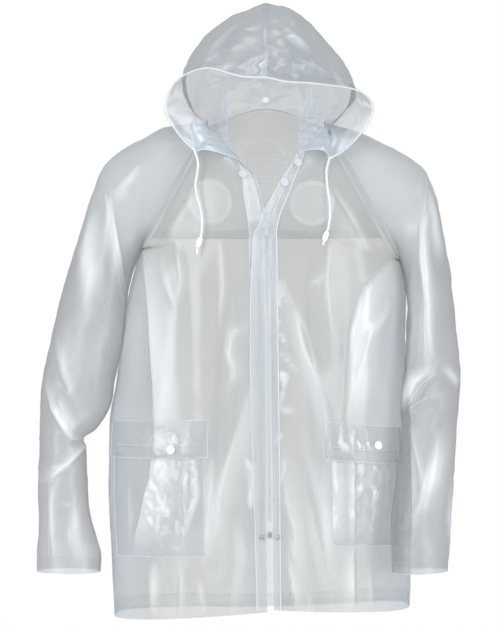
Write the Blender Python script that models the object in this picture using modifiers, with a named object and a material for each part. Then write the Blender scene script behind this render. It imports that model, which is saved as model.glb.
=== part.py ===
"""A hooded rain jacket of clear film, in the hollow shape that it has when worn.

Metres, +Z up, the front towards -Y. The origin is at the base of the neck. Right and left are
the wearer's, so the right side is at -X. Each piece that is cut and sewn is one object.
"""

import math

import bmesh
import bpy
import numpy as np
from mathutils import Vector

COLLECTION = "rain_jacket"
RIGHT, LEFT = -1, 1

WALL = 0.0012  # the film, as a wall
SEAM = 0.0005  # room between two pieces at a seam
LAY = 0.0003  # room between a panel and what lies on it
DROOP = 2.3  # power of the superellipse that a level section of the body follows
NECK_POWER = 1.15  # the same, across the chest and shoulders
NECK_TURN = 0.346  # where the raglan seams meet the neckline, as an angle on the first sleeve ring

ZIP_HALF_GAP = 0.005  # from the middle of the zip to the edge of either front
ZIP_TAPE_WALL = 0.0008
ZIP_CHAIN = 0.005
ZIP_CHAIN_THICK = 0.0021
SEWN_IN = 0.0105  # how far the storm flap and the zip tapes are sewn in from an edge
BAND = 0.0220  # width of the band along the right front's V
CORD = 0.0036  # diameter of the drawcord
SNAP_RADIUS = 0.0065
VENT_RADIUS = 0.038

# The edge of each front, from the hem up to the neck. Up to 1 the rows are below the armpit,
# and from 1 to 2 they run up the V.
#   row    x       y       z
EDGE_RIGHT = [
    (0.00, 0.0010, -0.163, -0.760),
    (0.30, -0.0005, -0.166, -0.590),
    (0.60, -0.0022, -0.167, -0.425),
    (0.85, -0.0038, -0.163, -0.280),
    (1.00, -0.0048, -0.154, -0.190),
    (1.10, -0.0053, -0.150, -0.172),
    (1.30, -0.0075, -0.147, -0.150),
    (1.55, -0.0130, -0.142, -0.123),
    (1.80, -0.0210, -0.128, -0.095),
    (2.00, -0.0370, -0.102, -0.068),
]
EDGE_LEFT = [
    (0.00, 0.0110, -0.163, -0.757),
    (0.30, 0.0095, -0.166, -0.588),
    (0.60, 0.0078, -0.167, -0.423),
    (0.85, 0.0062, -0.163, -0.280),
    (1.00, 0.0052, -0.154, -0.190),
    (1.10, 0.0049, -0.150, -0.172),
    (1.30, 0.0100, -0.147, -0.148),
    (1.50, 0.0210, -0.141, -0.123),
    (1.70, 0.0330, -0.130, -0.098),
    (1.87, 0.0460, -0.115, -0.075),
    (2.00, 0.0550, -0.101, -0.053),
]
#   row    x      y      z, up the middle of the back
BACK_MIDDLE = [
    (0.00, 0.0, 0.150, -0.788),
    (0.30, 0.0, 0.153, -0.600),
    (0.60, 0.0, 0.152, -0.430),
    (0.85, 0.0, 0.149, -0.280),
    (1.00, 0.0, 0.146, -0.195),
    (1.25, 0.0, 0.137, -0.135),
    (1.50, 0.0, 0.123, -0.080),
    (1.75, 0.0, 0.101, -0.022),
    (2.00, 0.0, 0.070, 0.031),
]
#   row   out     z, up the side seams to the armpit
SIDE_SEAM = {
    RIGHT: [
        (0.00, 0.242, -0.782),
        (0.14, 0.246, -0.691),
        (0.26, 0.250, -0.622),
        (0.38, 0.251, -0.552),
        (0.53, 0.248, -0.470),
        (0.63, 0.238, -0.415),
        (0.74, 0.2300, -0.352),
        (0.84, 0.2222, -0.296),
        (0.90, 0.2145, -0.256),
        (0.95, 0.2064, -0.226),
        (1.00, 0.1978, -0.198),
    ],
    LEFT: [
        (0.00, 0.229, -0.767),
        (0.14, 0.231, -0.691),
        (0.27, 0.233, -0.622),
        (0.40, 0.232, -0.552),
        (0.55, 0.229, -0.472),
        (0.65, 0.226, -0.419),
        (0.78, 0.2205, -0.352),
        (0.89, 0.2220, -0.280),
        (0.95, 0.2188, -0.246),
        (1.00, 0.2128, -0.216),
    ],
}
# Each ring of a sleeve has its outer point, its point under the arm and its depth before and
# behind the line between them. The first ring is the raglan seam.
#   outer: out     z,   inner: out     z,  outer y, inner y, front,  back, power
SLEEVE_RINGS = {
    RIGHT: [
        (0.093, 0.003, 0.199, -0.198, 0.000, 0.000, 0.090, 0.092, 2.30),
        (0.157, -0.003, 0.202, -0.206, 0.000, 0.000, 0.089, 0.090, 2.25),
        (0.202, -0.026, 0.208, -0.221, 0.000, 0.000, 0.087, 0.088, 2.20),
        (0.242, -0.050, 0.213, -0.238, 0.000, 0.000, 0.084, 0.085, 2.15),
        (0.263, -0.074, 0.217, -0.256, 0.000, 0.000, 0.081, 0.082, 2.10),
        (0.278, -0.115, 0.221, -0.278, 0.000, -0.002, 0.078, 0.079, 2.05),
        (0.291, -0.152, 0.225, -0.300, 0.000, -0.005, 0.076, 0.076, 2.00),
        (0.322, -0.253, 0.232, -0.356, 0.000, -0.015, 0.070, 0.068, 2.00),
        (0.346, -0.358, 0.241, -0.418, -0.004, -0.030, 0.065, 0.062, 2.00),
        (0.359, -0.425, 0.249, -0.453, -0.012, -0.032, 0.061, 0.058, 2.00),
        (0.361, -0.470, 0.268, -0.482, -0.018, -0.032, 0.058, 0.054, 2.00),
        (0.361, -0.497, 0.292, -0.498, -0.022, -0.031, 0.055, 0.050, 2.00),
        (0.360, -0.520, 0.285, -0.520, -0.026, -0.034, 0.054, 0.048, 2.00),
        (0.361, -0.560, 0.283, -0.563, -0.031, -0.036, 0.052, 0.046, 2.00),
        (0.361, -0.610, 0.280, -0.610, -0.036, -0.040, 0.050, 0.045, 2.00),
        (0.361, -0.650, 0.270, -0.652, -0.041, -0.046, 0.048, 0.044, 2.00),
        (0.362, -0.680, 0.262, -0.679, -0.045, -0.050, 0.047, 0.044, 2.00),
        (0.362, -0.708, 0.261, -0.708, -0.050, -0.055, 0.046, 0.044, 2.00),
    ],
    LEFT: [
        (0.093, 0.003, 0.214, -0.216, 0.000, 0.000, 0.090, 0.092, 2.30),
        (0.154, -0.014, 0.216, -0.223, 0.000, 0.000, 0.089, 0.090, 2.25),
        (0.210, -0.042, 0.219, -0.236, 0.000, -0.002, 0.087, 0.088, 2.20),
        (0.238, -0.058, 0.222, -0.252, 0.000, -0.008, 0.084, 0.085, 2.15),
        (0.257, -0.078, 0.223, -0.270, 0.000, -0.016, 0.081, 0.081, 2.10),
        (0.272, -0.118, 0.224, -0.292, 0.000, -0.026, 0.077, 0.077, 2.05),
        (0.286, -0.190, 0.222, -0.328, -0.004, -0.044, 0.073, 0.069, 2.00),
        (0.298, -0.278, 0.219, -0.368, -0.014, -0.062, 0.068, 0.062, 2.00),
        (0.305, -0.358, 0.215, -0.414, -0.034, -0.082, 0.064, 0.054, 2.00),
        (0.305, -0.424, 0.211, -0.452, -0.058, -0.097, 0.060, 0.048, 2.00),
        (0.298, -0.485, 0.208, -0.492, -0.080, -0.112, 0.057, 0.045, 2.00),
        (0.294, -0.531, 0.204, -0.531, -0.094, -0.121, 0.055, 0.044, 2.00),
        (0.289, -0.580, 0.199, -0.579, -0.107, -0.130, 0.052, 0.043, 2.00),
        (0.284, -0.626, 0.193, -0.625, -0.117, -0.136, 0.050, 0.042, 2.00),
        (0.282, -0.665, 0.193, -0.665, -0.124, -0.139, 0.048, 0.042, 2.00),
        (0.281, -0.699, 0.194, -0.701, -0.128, -0.141, 0.047, 0.041, 2.00),
    ],
}
# Hoops of each half of the hood, from the neckline up to the crown seam: the face opening's
# edge, the widest point of the side, how far the cheek folds in, and the seam behind.
#   edge: out     y      z,   side: out     y      z,  fold,  back: y      z
HOOD_HOOPS = {
    RIGHT: [
        (0.037, -0.102, -0.068, 0.094, -0.005, 0.000, 0.000, 0.070, 0.031),
        (0.104, -0.110, -0.050, 0.107, 0.005, 0.016, 0.020, 0.083, 0.049),
        (0.145, -0.086, -0.006, 0.125, 0.010, 0.035, 0.026, 0.097, 0.068),
        (0.156, -0.060, 0.027, 0.133, 0.015, 0.061, 0.022, 0.108, 0.092),
        (0.139, -0.065, 0.066, 0.128, 0.010, 0.095, 0.010, 0.115, 0.119),
        (0.094, -0.095, 0.083, 0.101, 0.000, 0.136, 0.000, 0.110, 0.148),
        (0.041, -0.125, 0.068, 0.054, -0.010, 0.170, 0.000, 0.085, 0.173),
        (0.0005, -0.135, 0.065, 0.0005, -0.010, 0.191, 0.000, 0.045, 0.190),
    ],
    LEFT: [
        (0.055, -0.101, -0.053, 0.094, -0.005, 0.000, 0.000, 0.070, 0.031),
        (0.094, -0.112, -0.060, 0.107, 0.005, 0.013, 0.004, 0.083, 0.049),
        (0.134, -0.090, -0.032, 0.127, 0.012, 0.030, 0.026, 0.097, 0.068),
        (0.166, -0.060, 0.018, 0.143, 0.015, 0.052, 0.022, 0.108, 0.092),
        (0.144, -0.072, 0.049, 0.130, 0.010, 0.091, 0.010, 0.115, 0.119),
        (0.079, -0.110, 0.057, 0.099, 0.000, 0.130, 0.000, 0.110, 0.148),
        (0.033, -0.128, 0.059, 0.051, -0.010, 0.175, 0.000, 0.085, 0.173),
        (0.0005, -0.135, 0.065, 0.0005, -0.010, 0.191, 0.000, 0.045, 0.190),
    ],
}
# The largest folds: soft ridges (or troughs, where the height is negative) along a line.
#   from: x      z,     to: x      z,  width, height
FRONT_FOLDS = [
    (-0.150, -0.150, -0.135, -0.420, 0.026, 0.006),
    (-0.200, -0.260, -0.190, -0.460, 0.020, -0.006),
    (-0.075, -0.240, -0.060, -0.440, 0.024, -0.005),
    (-0.060, -0.560, -0.050, -0.760, 0.022, 0.008),
    (0.035, -0.320, 0.100, -0.450, 0.018, 0.006),
    (0.060, -0.310, 0.075, -0.400, 0.014, -0.006),
    (0.045, -0.560, 0.085, -0.760, 0.022, 0.008),
    (0.150, -0.160, 0.165, -0.420, 0.024, 0.006),
    (0.125, -0.230, 0.135, -0.460, 0.018, -0.005),
]
BACK_FOLDS = [
    (-0.110, -0.230, -0.130, -0.770, 0.035, 0.012),
    (-0.045, -0.260, -0.050, -0.780, 0.030, -0.010),
    (0.030, -0.230, 0.025, -0.780, 0.032, 0.010),
    (0.100, -0.240, 0.110, -0.770, 0.034, -0.010),
    (0.160, -0.260, 0.175, -0.760, 0.028, 0.010),
    (-0.180, -0.280, -0.190, -0.760, 0.028, -0.008),
]
SLEEVE_FOLDS = {
    RIGHT: [
        (-0.256, -0.110, -0.236, -0.350, 0.016, 0.008),
        (-0.283, -0.512, -0.345, -0.560, 0.012, -0.008),
        (-0.300, -0.420, -0.350, -0.470, 0.014, 0.006),
        (-0.262, -0.470, -0.330, -0.400, 0.015, -0.006),
        (-0.320, -0.270, -0.340, -0.400, 0.016, 0.006),
    ],
    LEFT: [
        (0.245, -0.110, 0.235, -0.340, 0.016, 0.008),
        (0.215, -0.440, 0.275, -0.380, 0.014, 0.008),
        (0.225, -0.470, 0.290, -0.410, 0.012, -0.007),
        (0.285, -0.260, 0.292, -0.400, 0.016, -0.006),
        (0.235, -0.640, 0.262, -0.490, 0.014, 0.006),
    ],
}
# Rows of each front. What is sewn on ends on one of them.
#   below the armpit, then above it
FRONT_ROWS = (0, 0.045, 0.10, 0.155, 0.188, 0.242, 0.32, 0.38, 0.425, 0.46, 0.53, 0.60, 0.70, 0.80, 0.90,
              1.0, 1.1, 1.2, 1.31, 1.43, 1.56, 1.69, 1.80, 1.90, 1.96, 2.0)
# Columns of each front beyond the band at its edge, as shares of the way to the side seam.
FRONT_ACROSS = {
    RIGHT: (0.10, 0.20, 0.295, 0.325, 0.42, 0.52, 0.62, 0.72, 0.81, 0.885, 0.943, 0.967, 0.986, 0.996, 1.0),
    LEFT: (0.10, 0.19, 0.282, 0.348, 0.44, 0.53, 0.62, 0.71, 0.80, 0.868, 0.900, 0.945, 0.975, 0.993, 1.0),
}
BACK_ROWS = (0, 0.08, 0.17, 0.26, 0.35, 0.44, 0.53, 0.62, 0.71, 0.80, 0.90, 1.0,
             1.12, 1.24, 1.36, 1.48, 1.60, 1.72, 1.84, 1.94, 2.0)
CAPE_ROWS = (1.12, 1.94)
ZIP_ROWS = (0.188, 1.96)
CHAIN_ROWS = (0.242, 1.1)
ZIP_BOX_ROW = 0.207
# The storm flap: how far it reaches past the left front's edge, and how far it stands off that
# edge, off the zip and at its free edge.
#   row   reach   at edge  on zip  at free edge
STORM_FLAP = [
    (0.00, 0.026, 0.0013, 0.0026, 0.0022),
    (0.25, 0.028, 0.0013, 0.0026, 0.0022),
    (0.60, 0.032, 0.0013, 0.0026, 0.0022),
    (0.85, 0.031, 0.0014, 0.0030, 0.0030),
    (0.97, 0.026, 0.0030, 0.0090, 0.0100),
    (1.10, 0.020, 0.0050, 0.0120, 0.0150),
    (1.30, 0.015, 0.0040, 0.0090, 0.0130),
    (1.55, 0.011, 0.0020, 0.0040, 0.0080),
    (1.80, 0.009, 0.0013, 0.0022, 0.0045),
    (1.95, 0.008, 0.0013, 0.0020, 0.0030),
]
PLACKET_ROWS = (0.90, 1.90)
# Patch pockets and their flaps, by columns and rows of the front.
#   inner  outer   bottom   top,  flap: inner  outer   bottom   top
POCKETS = {
    RIGHT: (0.325, 0.943, 0.155, 0.46, 0.295, 0.967, 0.425, 0.53),
    LEFT: (0.348, 0.868, 0.188, 0.46, 0.282, 0.900, 0.425, 0.53),
}
POCKET_PUFF = 0.007  # how far a pocket's middle stands off the front

MOUTH_HOOP = 1.2  # where the drawcord leaves its channel
# The drawcord's free ends, from just below the channel's mouth down.
CORD_ROUTES = {
    RIGHT: [
        (-0.1075, -0.1180, -0.0610),
        (-0.1062, -0.1225, -0.0710),
        (-0.1070, -0.1260, -0.0820),
        (-0.1088, -0.1300, -0.0930),
        (-0.1100, -0.1335, -0.1040),
        (-0.1085, -0.1360, -0.1150),
        (-0.1060, -0.1385, -0.1260),
        (-0.1030, -0.1410, -0.1360),
        (-0.1008, -0.1430, -0.1460),
        (-0.0998, -0.1448, -0.1560),
        (-0.0996, -0.1464, -0.1660),
        (-0.1000, -0.1474, -0.1750),
        (-0.1014, -0.1482, -0.1830),
        (-0.1030, -0.1487, -0.1885),
        (-0.1046, -0.1492, -0.1940),
        (-0.1062, -0.1497, -0.1995),
        (-0.1070, -0.1500, -0.2050),
        (-0.1068, -0.1502, -0.2110),
    ],
    LEFT: [
        (0.0950, -0.1190, -0.0710),
        (0.0932, -0.1230, -0.0790),
        (0.0930, -0.1262, -0.0880),
        (0.0934, -0.1300, -0.0980),
        (0.0942, -0.1330, -0.1070),
        (0.0956, -0.1356, -0.1160),
        (0.0968, -0.1380, -0.1250),
        (0.0978, -0.1406, -0.1370),
        (0.0980, -0.1430, -0.1500),
        (0.0968, -0.1450, -0.1600),
        (0.0953, -0.1464, -0.1680),
        (0.0936, -0.1472, -0.1740),
        (0.0919, -0.1479, -0.1795),
        (0.0902, -0.1486, -0.1850),
        (0.0885, -0.1493, -0.1905),
        (0.0868, -0.1498, -0.1960),
    ],
}
CORD_STOP_LENGTH = 0.014
CORD_TAIL = {RIGHT: 0.0125, LEFT: 0.0070}  # how much cord shows past the stop
#   radius, height along the stop's axis; the bore is clear of the cord
STOP_PROFILE = [(0.0021, 0.0), (0.0033, 0.0), (0.0042, 0.004), (0.0040, 0.011), (0.0030, 0.014),
                (0.0021, 0.014)]
SNAP_PROFILE = [(0.0, 0.0), (SNAP_RADIUS, 0.0), (SNAP_RADIUS, 0.0012), (0.0050, 0.0022), (0.0024, 0.0016),
                (0.0, 0.0016)]

SLIDER_WIDTH, SLIDER_DEPTH, SLIDER_HEIGHT = 0.0085, 0.0036, 0.0115
BRIDGE_WIDTH, BRIDGE_THICK, BRIDGE_HEIGHT, BRIDGE_STAND = 0.0018, 0.0008, 0.0080, 0.0026
TAB_WIDTH, TAB_THICK, TAB_LENGTH, TAB_BAR = 0.0056, 0.0010, 0.0110, 0.0010
TAB_WINDOW = 0.0040
SLIDER_ROW = 1.165

FILM = ("clear_film", (0.80, 0.85, 0.87), 0.12, 0.0)
CORD_WHITE = ("white_cord", (0.93, 0.94, 0.94), 0.75, 0.0)
PLASTIC_WHITE = ("white_plastic", (0.92, 0.93, 0.93), 0.30, 0.0)
MESH_WHITE = ("white_mesh", (0.78, 0.80, 0.81), 0.80, 0.0)
TAPE = ("zip_tape", (0.86, 0.89, 0.90), 0.60, 0.0)
NICKEL = ("nickel", (0.62, 0.63, 0.64), 0.30, 1.0)


def start_clean():
    for obj in list(bpy.data.objects):
        bpy.data.objects.remove(obj, do_unlink=True)
    for name in (COLLECTION, "cutters"):
        bpy.context.scene.collection.children.link(bpy.data.collections.new(name))


def material(look):
    name, colour, roughness, metallic = look
    made = bpy.data.materials.new(name)
    made.use_nodes = True
    shader = made.node_tree.nodes["Principled BSDF"]
    shader.inputs["Base Color"].default_value = (*colour, 1.0)
    shader.inputs["Roughness"].default_value = roughness
    shader.inputs["Metallic"].default_value = metallic
    return made


def add_object(name, data, look, group=COLLECTION):
    obj = bpy.data.objects.new(name, data)
    data.materials.append(material(look))
    bpy.data.collections[group].objects.link(obj)
    return obj


# Curves and surfaces ------------------------------------------------------------------------


def through(points, at):
    """Points on a smooth curve through the given ones; `at` counts along them from 0."""
    points, at = np.asarray(points, float), np.asarray(at, float)
    ends = np.concatenate([[2 * points[0] - points[1]], points, [2 * points[-1] - points[-2]]])
    i = np.clip(np.floor(at).astype(int), 0, len(points) - 2)
    f = (at - i).reshape(at.shape + (1,) * (points.ndim - 1))
    a, b, c, d = ends[i], ends[i + 1], ends[i + 2], ends[i + 3]
    return b + 0.5 * f * (c - a + f * (2 * a - 5 * b + 4 * c - d + f * (3 * b - a - 3 * c + d)))


def by_row(table, row):
    """The table's other columns at these rows, smoothly in between."""
    table = np.asarray(table, float)
    return through(table[:, 1:], np.interp(row, table[:, 0], np.arange(len(table))))


def eased(x):
    x = np.clip(x, 0, 1)
    return x * x * (3 - 2 * x)


def fold_height(x, z, folds):
    """How far the folds lift the cloth at these places."""
    total = np.zeros(np.broadcast(x, z).shape)
    for x0, z0, x1, z1, width, height in folds:
        dx, dz = x1 - x0, z1 - z0
        along = np.clip(((x - x0) * dx + (z - z0) * dz) / (dx * dx + dz * dz), 0, 1)
        away = np.hypot(x - x0 - along * dx, z - z0 - along * dz)
        total += height * np.exp(-((away / width) ** 2)) * (0.35 + 0.65 * np.sin(np.pi * along))
    return total


def sleeve_point(side, ring, turn):
    """A sleeve's surface: ring 0 is the raglan seam, turn 0 the top and a quarter the front."""
    values = np.moveaxis(through(SLEEVE_RINGS[side], ring), -1, 0)
    outer_x, outer_z, inner_x, inner_z, outer_y, inner_y, front, back, power = values
    c, s = np.cos(turn), np.sin(turn)
    along = np.sign(c) * np.abs(c) ** (2 / power)
    depth = np.sign(s) * np.abs(s) ** (2 / power)
    share = 0.5 + 0.5 * along
    x = side * (inner_x + (outer_x - inner_x) * share)
    z = inner_z + (outer_z - inner_z) * share
    y = inner_y + (outer_y - inner_y) * share - np.where(depth > 0, front, back) * depth
    lift = fold_height(x, z, SLEEVE_FOLDS[side]) * eased(ring / 3) * eased(depth * 1.6)
    return np.stack([x, y - lift, z], axis=-1)


def raglan_edge(side, turn):
    """The body's side of the raglan seam, a seam's room from the sleeve."""
    ring = np.zeros(np.shape(turn))
    here, on = sleeve_point(side, ring, turn), sleeve_point(side, ring + 0.2, turn)
    way = here - on
    way /= np.linalg.norm(way, axis=-1, keepdims=True)
    under = eased(-np.cos(turn) * 2.5 - 0.5)[..., None]
    room = (SEAM + 0.0009 * eased(np.cos(turn) * 2 - 0.2))[..., None]
    return here + room * way * (1 - under) + np.array([-side * 0.0012, 0, 0]) * under


def outer_edge(side, row, behind):
    """Where a level row of the front or back ends: at the side seam, then the raglan seam."""
    row = np.asarray(row, float)
    out, z = np.moveaxis(by_row(SIDE_SEAM[side], np.clip(row, 0, 1)), -1, 0)
    y = np.full(row.shape, SEAM / 2 if behind else -SEAM / 2)
    seam = np.stack([side * out, y, z], axis=-1)
    turn = math.pi - np.clip(row - 1, 0, 1) * (math.pi - NECK_TURN)
    raglan = raglan_edge(side, 2 * math.pi - turn if behind else turn)
    raglan[..., 1] += y
    return np.where((row <= 1)[..., None], seam, raglan)


def body_point(middle, end, row, share, level):
    """A point of a level row: share 0 is its middle and 1 its end, where it turns the side."""
    power = DROOP + (NECK_POWER - DROOP) * eased((row - 1) * 2)
    swell = (1 - np.clip(np.abs(share), 0, 1) ** DROOP) ** (1 / power)
    z = middle[..., 2] + (end[..., 2] - middle[..., 2]) * np.abs(share) ** level
    x = middle[..., 0] + (end[..., 0] - middle[..., 0]) * share
    y = end[..., 1] + (middle[..., 1] - end[..., 1]) * swell
    return np.stack([x, y, z], axis=-1)


def front_point(side, row, share):
    """The outside of a front. Shares below 0 reach past its edge, over the zip."""
    row, share = np.broadcast_arrays(np.asarray(row, float), np.asarray(share, float))
    middle = by_row(EDGE_RIGHT if side == RIGHT else EDGE_LEFT, row)
    point = body_point(middle, outer_edge(side, row, False), row, share, 1.0)
    calm = eased((1 - np.abs(share)) * 5) * eased(np.abs(share) * 8) * eased((2 - row) * 3)
    point[..., 1] -= fold_height(point[..., 0], point[..., 2], FRONT_FOLDS) * calm
    return point


def back_point(row, share):
    """The outside of the back; share -1 is the right side seam and 1 the left."""
    row, share = np.broadcast_arrays(np.asarray(row, float), np.asarray(share, float))
    middle = by_row(BACK_MIDDLE, row)
    ends = np.where((share < 0)[..., None], outer_edge(RIGHT, row, True), outer_edge(LEFT, row, True))
    point = body_point(middle, ends, row, np.abs(share), 1.7)
    calm = eased((1 - np.abs(share)) * 5) * eased((1.1 - row) * 3)
    point[..., 1] += fold_height(point[..., 0], point[..., 2], BACK_FOLDS) * calm
    return point


def neckline(side, share):
    """Half of the neckline, from the front's corner round to the middle of the back."""
    steps = np.linspace(0, 1, 25)
    turns = NECK_TURN * np.linspace(1, -1, 9)[1:-1]
    line = np.concatenate([
        front_point(side, 2.0, steps),
        sleeve_point(side, np.zeros(turns.shape), turns),
        back_point(2.0, side * steps[::-1]),
    ])
    run = np.concatenate([[0], np.cumsum(np.linalg.norm(np.diff(line, axis=0), axis=1))])
    return np.stack([np.interp(share * run[-1], run, line[:, k]) for k in range(3)], axis=-1)


def hood_point(side, hoop, share):
    """A half of the hood: share 0 is the face opening's edge and 1 the seam behind."""
    hoop, share = np.broadcast_arrays(np.asarray(hoop, float), np.asarray(share, float))
    edge_x, edge_y, edge_z, side_x, side_y, side_z, fold, back_y, back_z = np.moveaxis(
        through(HOOD_HOOPS[side], np.maximum(hoop, 1)), -1, 0
    )
    zero, bow = np.zeros(hoop.shape), math.sqrt(0.5)
    knots = np.stack([
        np.stack([edge_x, edge_y, edge_z], -1),
        np.stack([0.55 * edge_x + 0.45 * side_x - fold, 0.62 * edge_y + 0.38 * side_y - 0.3 * fold,
                  0.55 * edge_z + 0.45 * side_z], -1),
        np.stack([side_x, side_y, side_z], -1),
        np.stack([bow * side_x, side_y + bow * (back_y - side_y), 0.5 * (side_z + back_z)], -1),
        np.stack([zero, back_y, back_z], -1),
    ])
    at = np.clip(share, 0, 1) * 4
    i = np.clip(np.floor(at).astype(int), 0, 3)
    # The seam behind is crossed level, as if the other half went on.
    beyond = knots[3] * np.array([-1.0, 1.0, 1.0])
    whole = np.concatenate([[2 * knots[0] - knots[1]], knots, [beyond]])
    pick = [np.take_along_axis(whole, (i + k)[None, ..., None], axis=0)[0] for k in range(4)]
    a, b, c, d = pick
    f = (at - i)[..., None]
    point = b + 0.5 * f * (c - a + f * (2 * a - 5 * b + 4 * c - d + f * (3 * b - a - 3 * c + d)))
    room = SEAM * 0.7 + 0.0009 * eased(hoop - 6) * eased(share * 3 - 1.2)
    point[..., 0] = side * (np.maximum(point[..., 0], 0) + room)
    foot = neckline(side, share) + np.array([0, 0, 0.0022])
    foot[..., 1] -= 0.0016 * (1 - eased(share * 6))
    foot[..., 0] += side * SEAM * 0.7 * eased(share * 3 - 2)
    up = np.clip(hoop, 0, 1)
    # The foot stands out from the front before it folds over.
    over_front = 1 - eased(share * 3.5 - 0.6)
    rise = np.sin(np.pi * np.clip(hoop / (1 + 0.9 * eased(share * 6)), 0, 1)) ** 0.7
    out = (0.0045 + 0.0045 * over_front) * rise * (1 - eased(share * 5 - 3))
    out += 0.0130 * (1 - eased(share * 5)) * np.sin(np.pi * up) ** 0.5
    way = over_front[..., None] * np.array([0.45 * side, -0.80, 0.35])
    way += (1 - over_front[..., None]) * np.array([0.20 * side, -0.25, 0.90])
    return point * up[..., None] + foot * (1 - up[..., None]) + out[..., None] * way


def lifted(surface, a, b, height):
    """Points of a surface moved out along its normal; the surface takes two grids."""
    step = 1e-3
    point = surface(a, b)
    across, down = surface(a, b + step) - surface(a, b - step), surface(a + step, b) - surface(a - step, b)
    normal = np.cross(across, down)
    normal /= np.linalg.norm(normal, axis=-1, keepdims=True)
    out = point - np.array([0.0, 0.0, 0.0])
    flip = np.where((normal[..., :2] * out[..., :2]).sum(-1) < 0, -1.0, 1.0)[..., None]
    return point + normal * flip * np.asarray(height)[..., None]


def share_at(side, row, distance):
    """The share of a front's row at a distance in from its edge, in metres."""
    middle = by_row(EDGE_RIGHT if side == RIGHT else EDGE_LEFT, row)
    width = np.linalg.norm((outer_edge(side, row, False) - middle)[..., [0, 2]], axis=-1)
    return distance / width


def front_grid(side, first_row, last_row, distances=(), first=2.0, last=-1.0):
    """Rows and shares of a front's own grid: columns at distances from its edge, then between two shares."""
    rows = np.array([r for r in FRONT_ROWS if first_row <= r <= last_row])
    start = share_at(side, rows, BAND)
    columns = [share_at(side, rows, d) for d in distances]
    columns += [start + (1 - start) * a for a in FRONT_ACROSS[side] if first <= a <= last]
    return rows[:, None] + 0 * np.stack(columns, axis=1), np.stack(columns, axis=1)


def back_grid(first_row, last_row, widest=1.0):
    rows = np.array([r for r in BACK_ROWS if first_row <= r <= last_row])
    shares = np.array([s for s in curved_shares(21, -1, 1) if abs(s) <= widest])
    return np.meshgrid(rows, shares, indexing="ij")


def curved_shares(count, first=0.0, last=1.0):
    """Shares of a row that are even in angle, and so closer together where the side turns."""
    ends = [math.asin(np.clip(abs(s), 0, 1) ** (DROOP / 2)) * np.sign(s) for s in (first, last)]
    angle = np.linspace(ends[0], ends[1], count)
    return np.sign(angle) * np.abs(np.sin(angle)) ** (2 / DROOP)


# Objects --------------------------------------------------------------------------------------


LAID = {}  # each cloth piece's own grid, for what is set on it


def sheet(name, grid, look, inside, wall=WALL, outwards=False, ring=False):
    """A cloth piece: an open surface through a grid of points, thickened by Solidify."""
    LAID[name] = grid
    rows, columns = grid.shape[:2]
    mesh = bpy.data.meshes.new(name)
    faces = []
    for i in range(rows - 1):
        for j in range(columns if ring else columns - 1):
            k = (j + 1) % columns
            a, b, c, d = i * columns + j, i * columns + k, (i + 1) * columns + k, (i + 1) * columns + j
            faces += [(a, b, c), (a, c, d)]
    mesh.from_pydata([tuple(p) for p in grid.reshape(-1, 3)], [], faces)
    if ring:
        middles = [Vector(m) for m in grid.mean(axis=1)]
        rings = [min(p.index // (2 * columns), rows - 2) for p in mesh.polygons]
        turned = sum((p.center - middles[k]).dot(p.normal) for k, p in zip(rings, mesh.polygons))
    else:
        turned = sum((p.center - Vector(inside)).dot(p.normal) * p.area for p in mesh.polygons)
    if turned < 0:
        mesh.flip_normals()
    mesh.shade_smooth()
    obj = add_object(name, mesh, look)
    thick = obj.modifiers.new("wall", "SOLIDIFY")
    thick.thickness = wall
    thick.offset = 1.0 if outwards else -1.0
    return obj


def make_front(side, name):
    rows, shares = front_grid(side, 0, 2, (0.0, SEWN_IN, BAND), 0.0, 1.0)
    sheet(name, front_point(side, rows, shares), FILM, (0, 0, -0.4))


def make_back():
    sheet("back", back_point(*back_grid(0, 2)), FILM, (0, 0, -0.4))


def make_sleeve(side, name):
    rings = np.linspace(0, len(SLEEVE_RINGS[side]) - 1, 22)
    turns = np.linspace(0, 2 * math.pi, 20, endpoint=False)
    ring, turn = np.meshgrid(rings, turns, indexing="ij")
    sheet(name, sleeve_point(side, ring, turn), FILM, (0, 0, 0), ring=True)


def hood_hoops():
    return np.concatenate([[0, 0.12, 0.3, 0.55, 0.8], np.linspace(1, 7, 19)])


def make_hood(side, name):
    hoops, shares = np.meshgrid(hood_hoops(), np.linspace(0, 1, 14), indexing="ij")
    sheet(name, hood_point(side, hoops, shares), FILM, (0, 0.0, 0.06))


def make_cape():
    """The loose cape, sewn in along the neckline and the raglan seams."""
    rows, shares = back_grid(*CAPE_ROWS, 0.995)
    loose = eased((CAPE_ROWS[1] - rows) / 0.82) * (1 - np.abs(shares) ** 4)
    points = lifted(back_point, rows, shares, LAY + 0.0002 + 0.009 * loose)
    sheet("back_cape", points, FILM, (0, 0, -0.4), outwards=True)


def locate(surface, x, z, row, share):
    """The row and share at which a surface has these x and z, from a first guess."""
    step = 1e-4
    row, share = np.full(np.shape(x), row, float), np.full(np.shape(x), share, float)
    for _ in range(12):
        here = surface(row, share)
        down, across = (surface(row + step, share) - here) / step, (surface(row, share + step) - here) / step
        dx, dz = x - here[..., 0], z - here[..., 2]
        det = down[..., 0] * across[..., 2] - across[..., 0] * down[..., 2]
        row = row + np.clip((dx * across[..., 2] - dz * across[..., 0]) / det, -0.2, 0.2)
        share = share + np.clip((down[..., 0] * dz - down[..., 2] * dx) / det, -0.2, 0.2)
    return row, share


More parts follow.
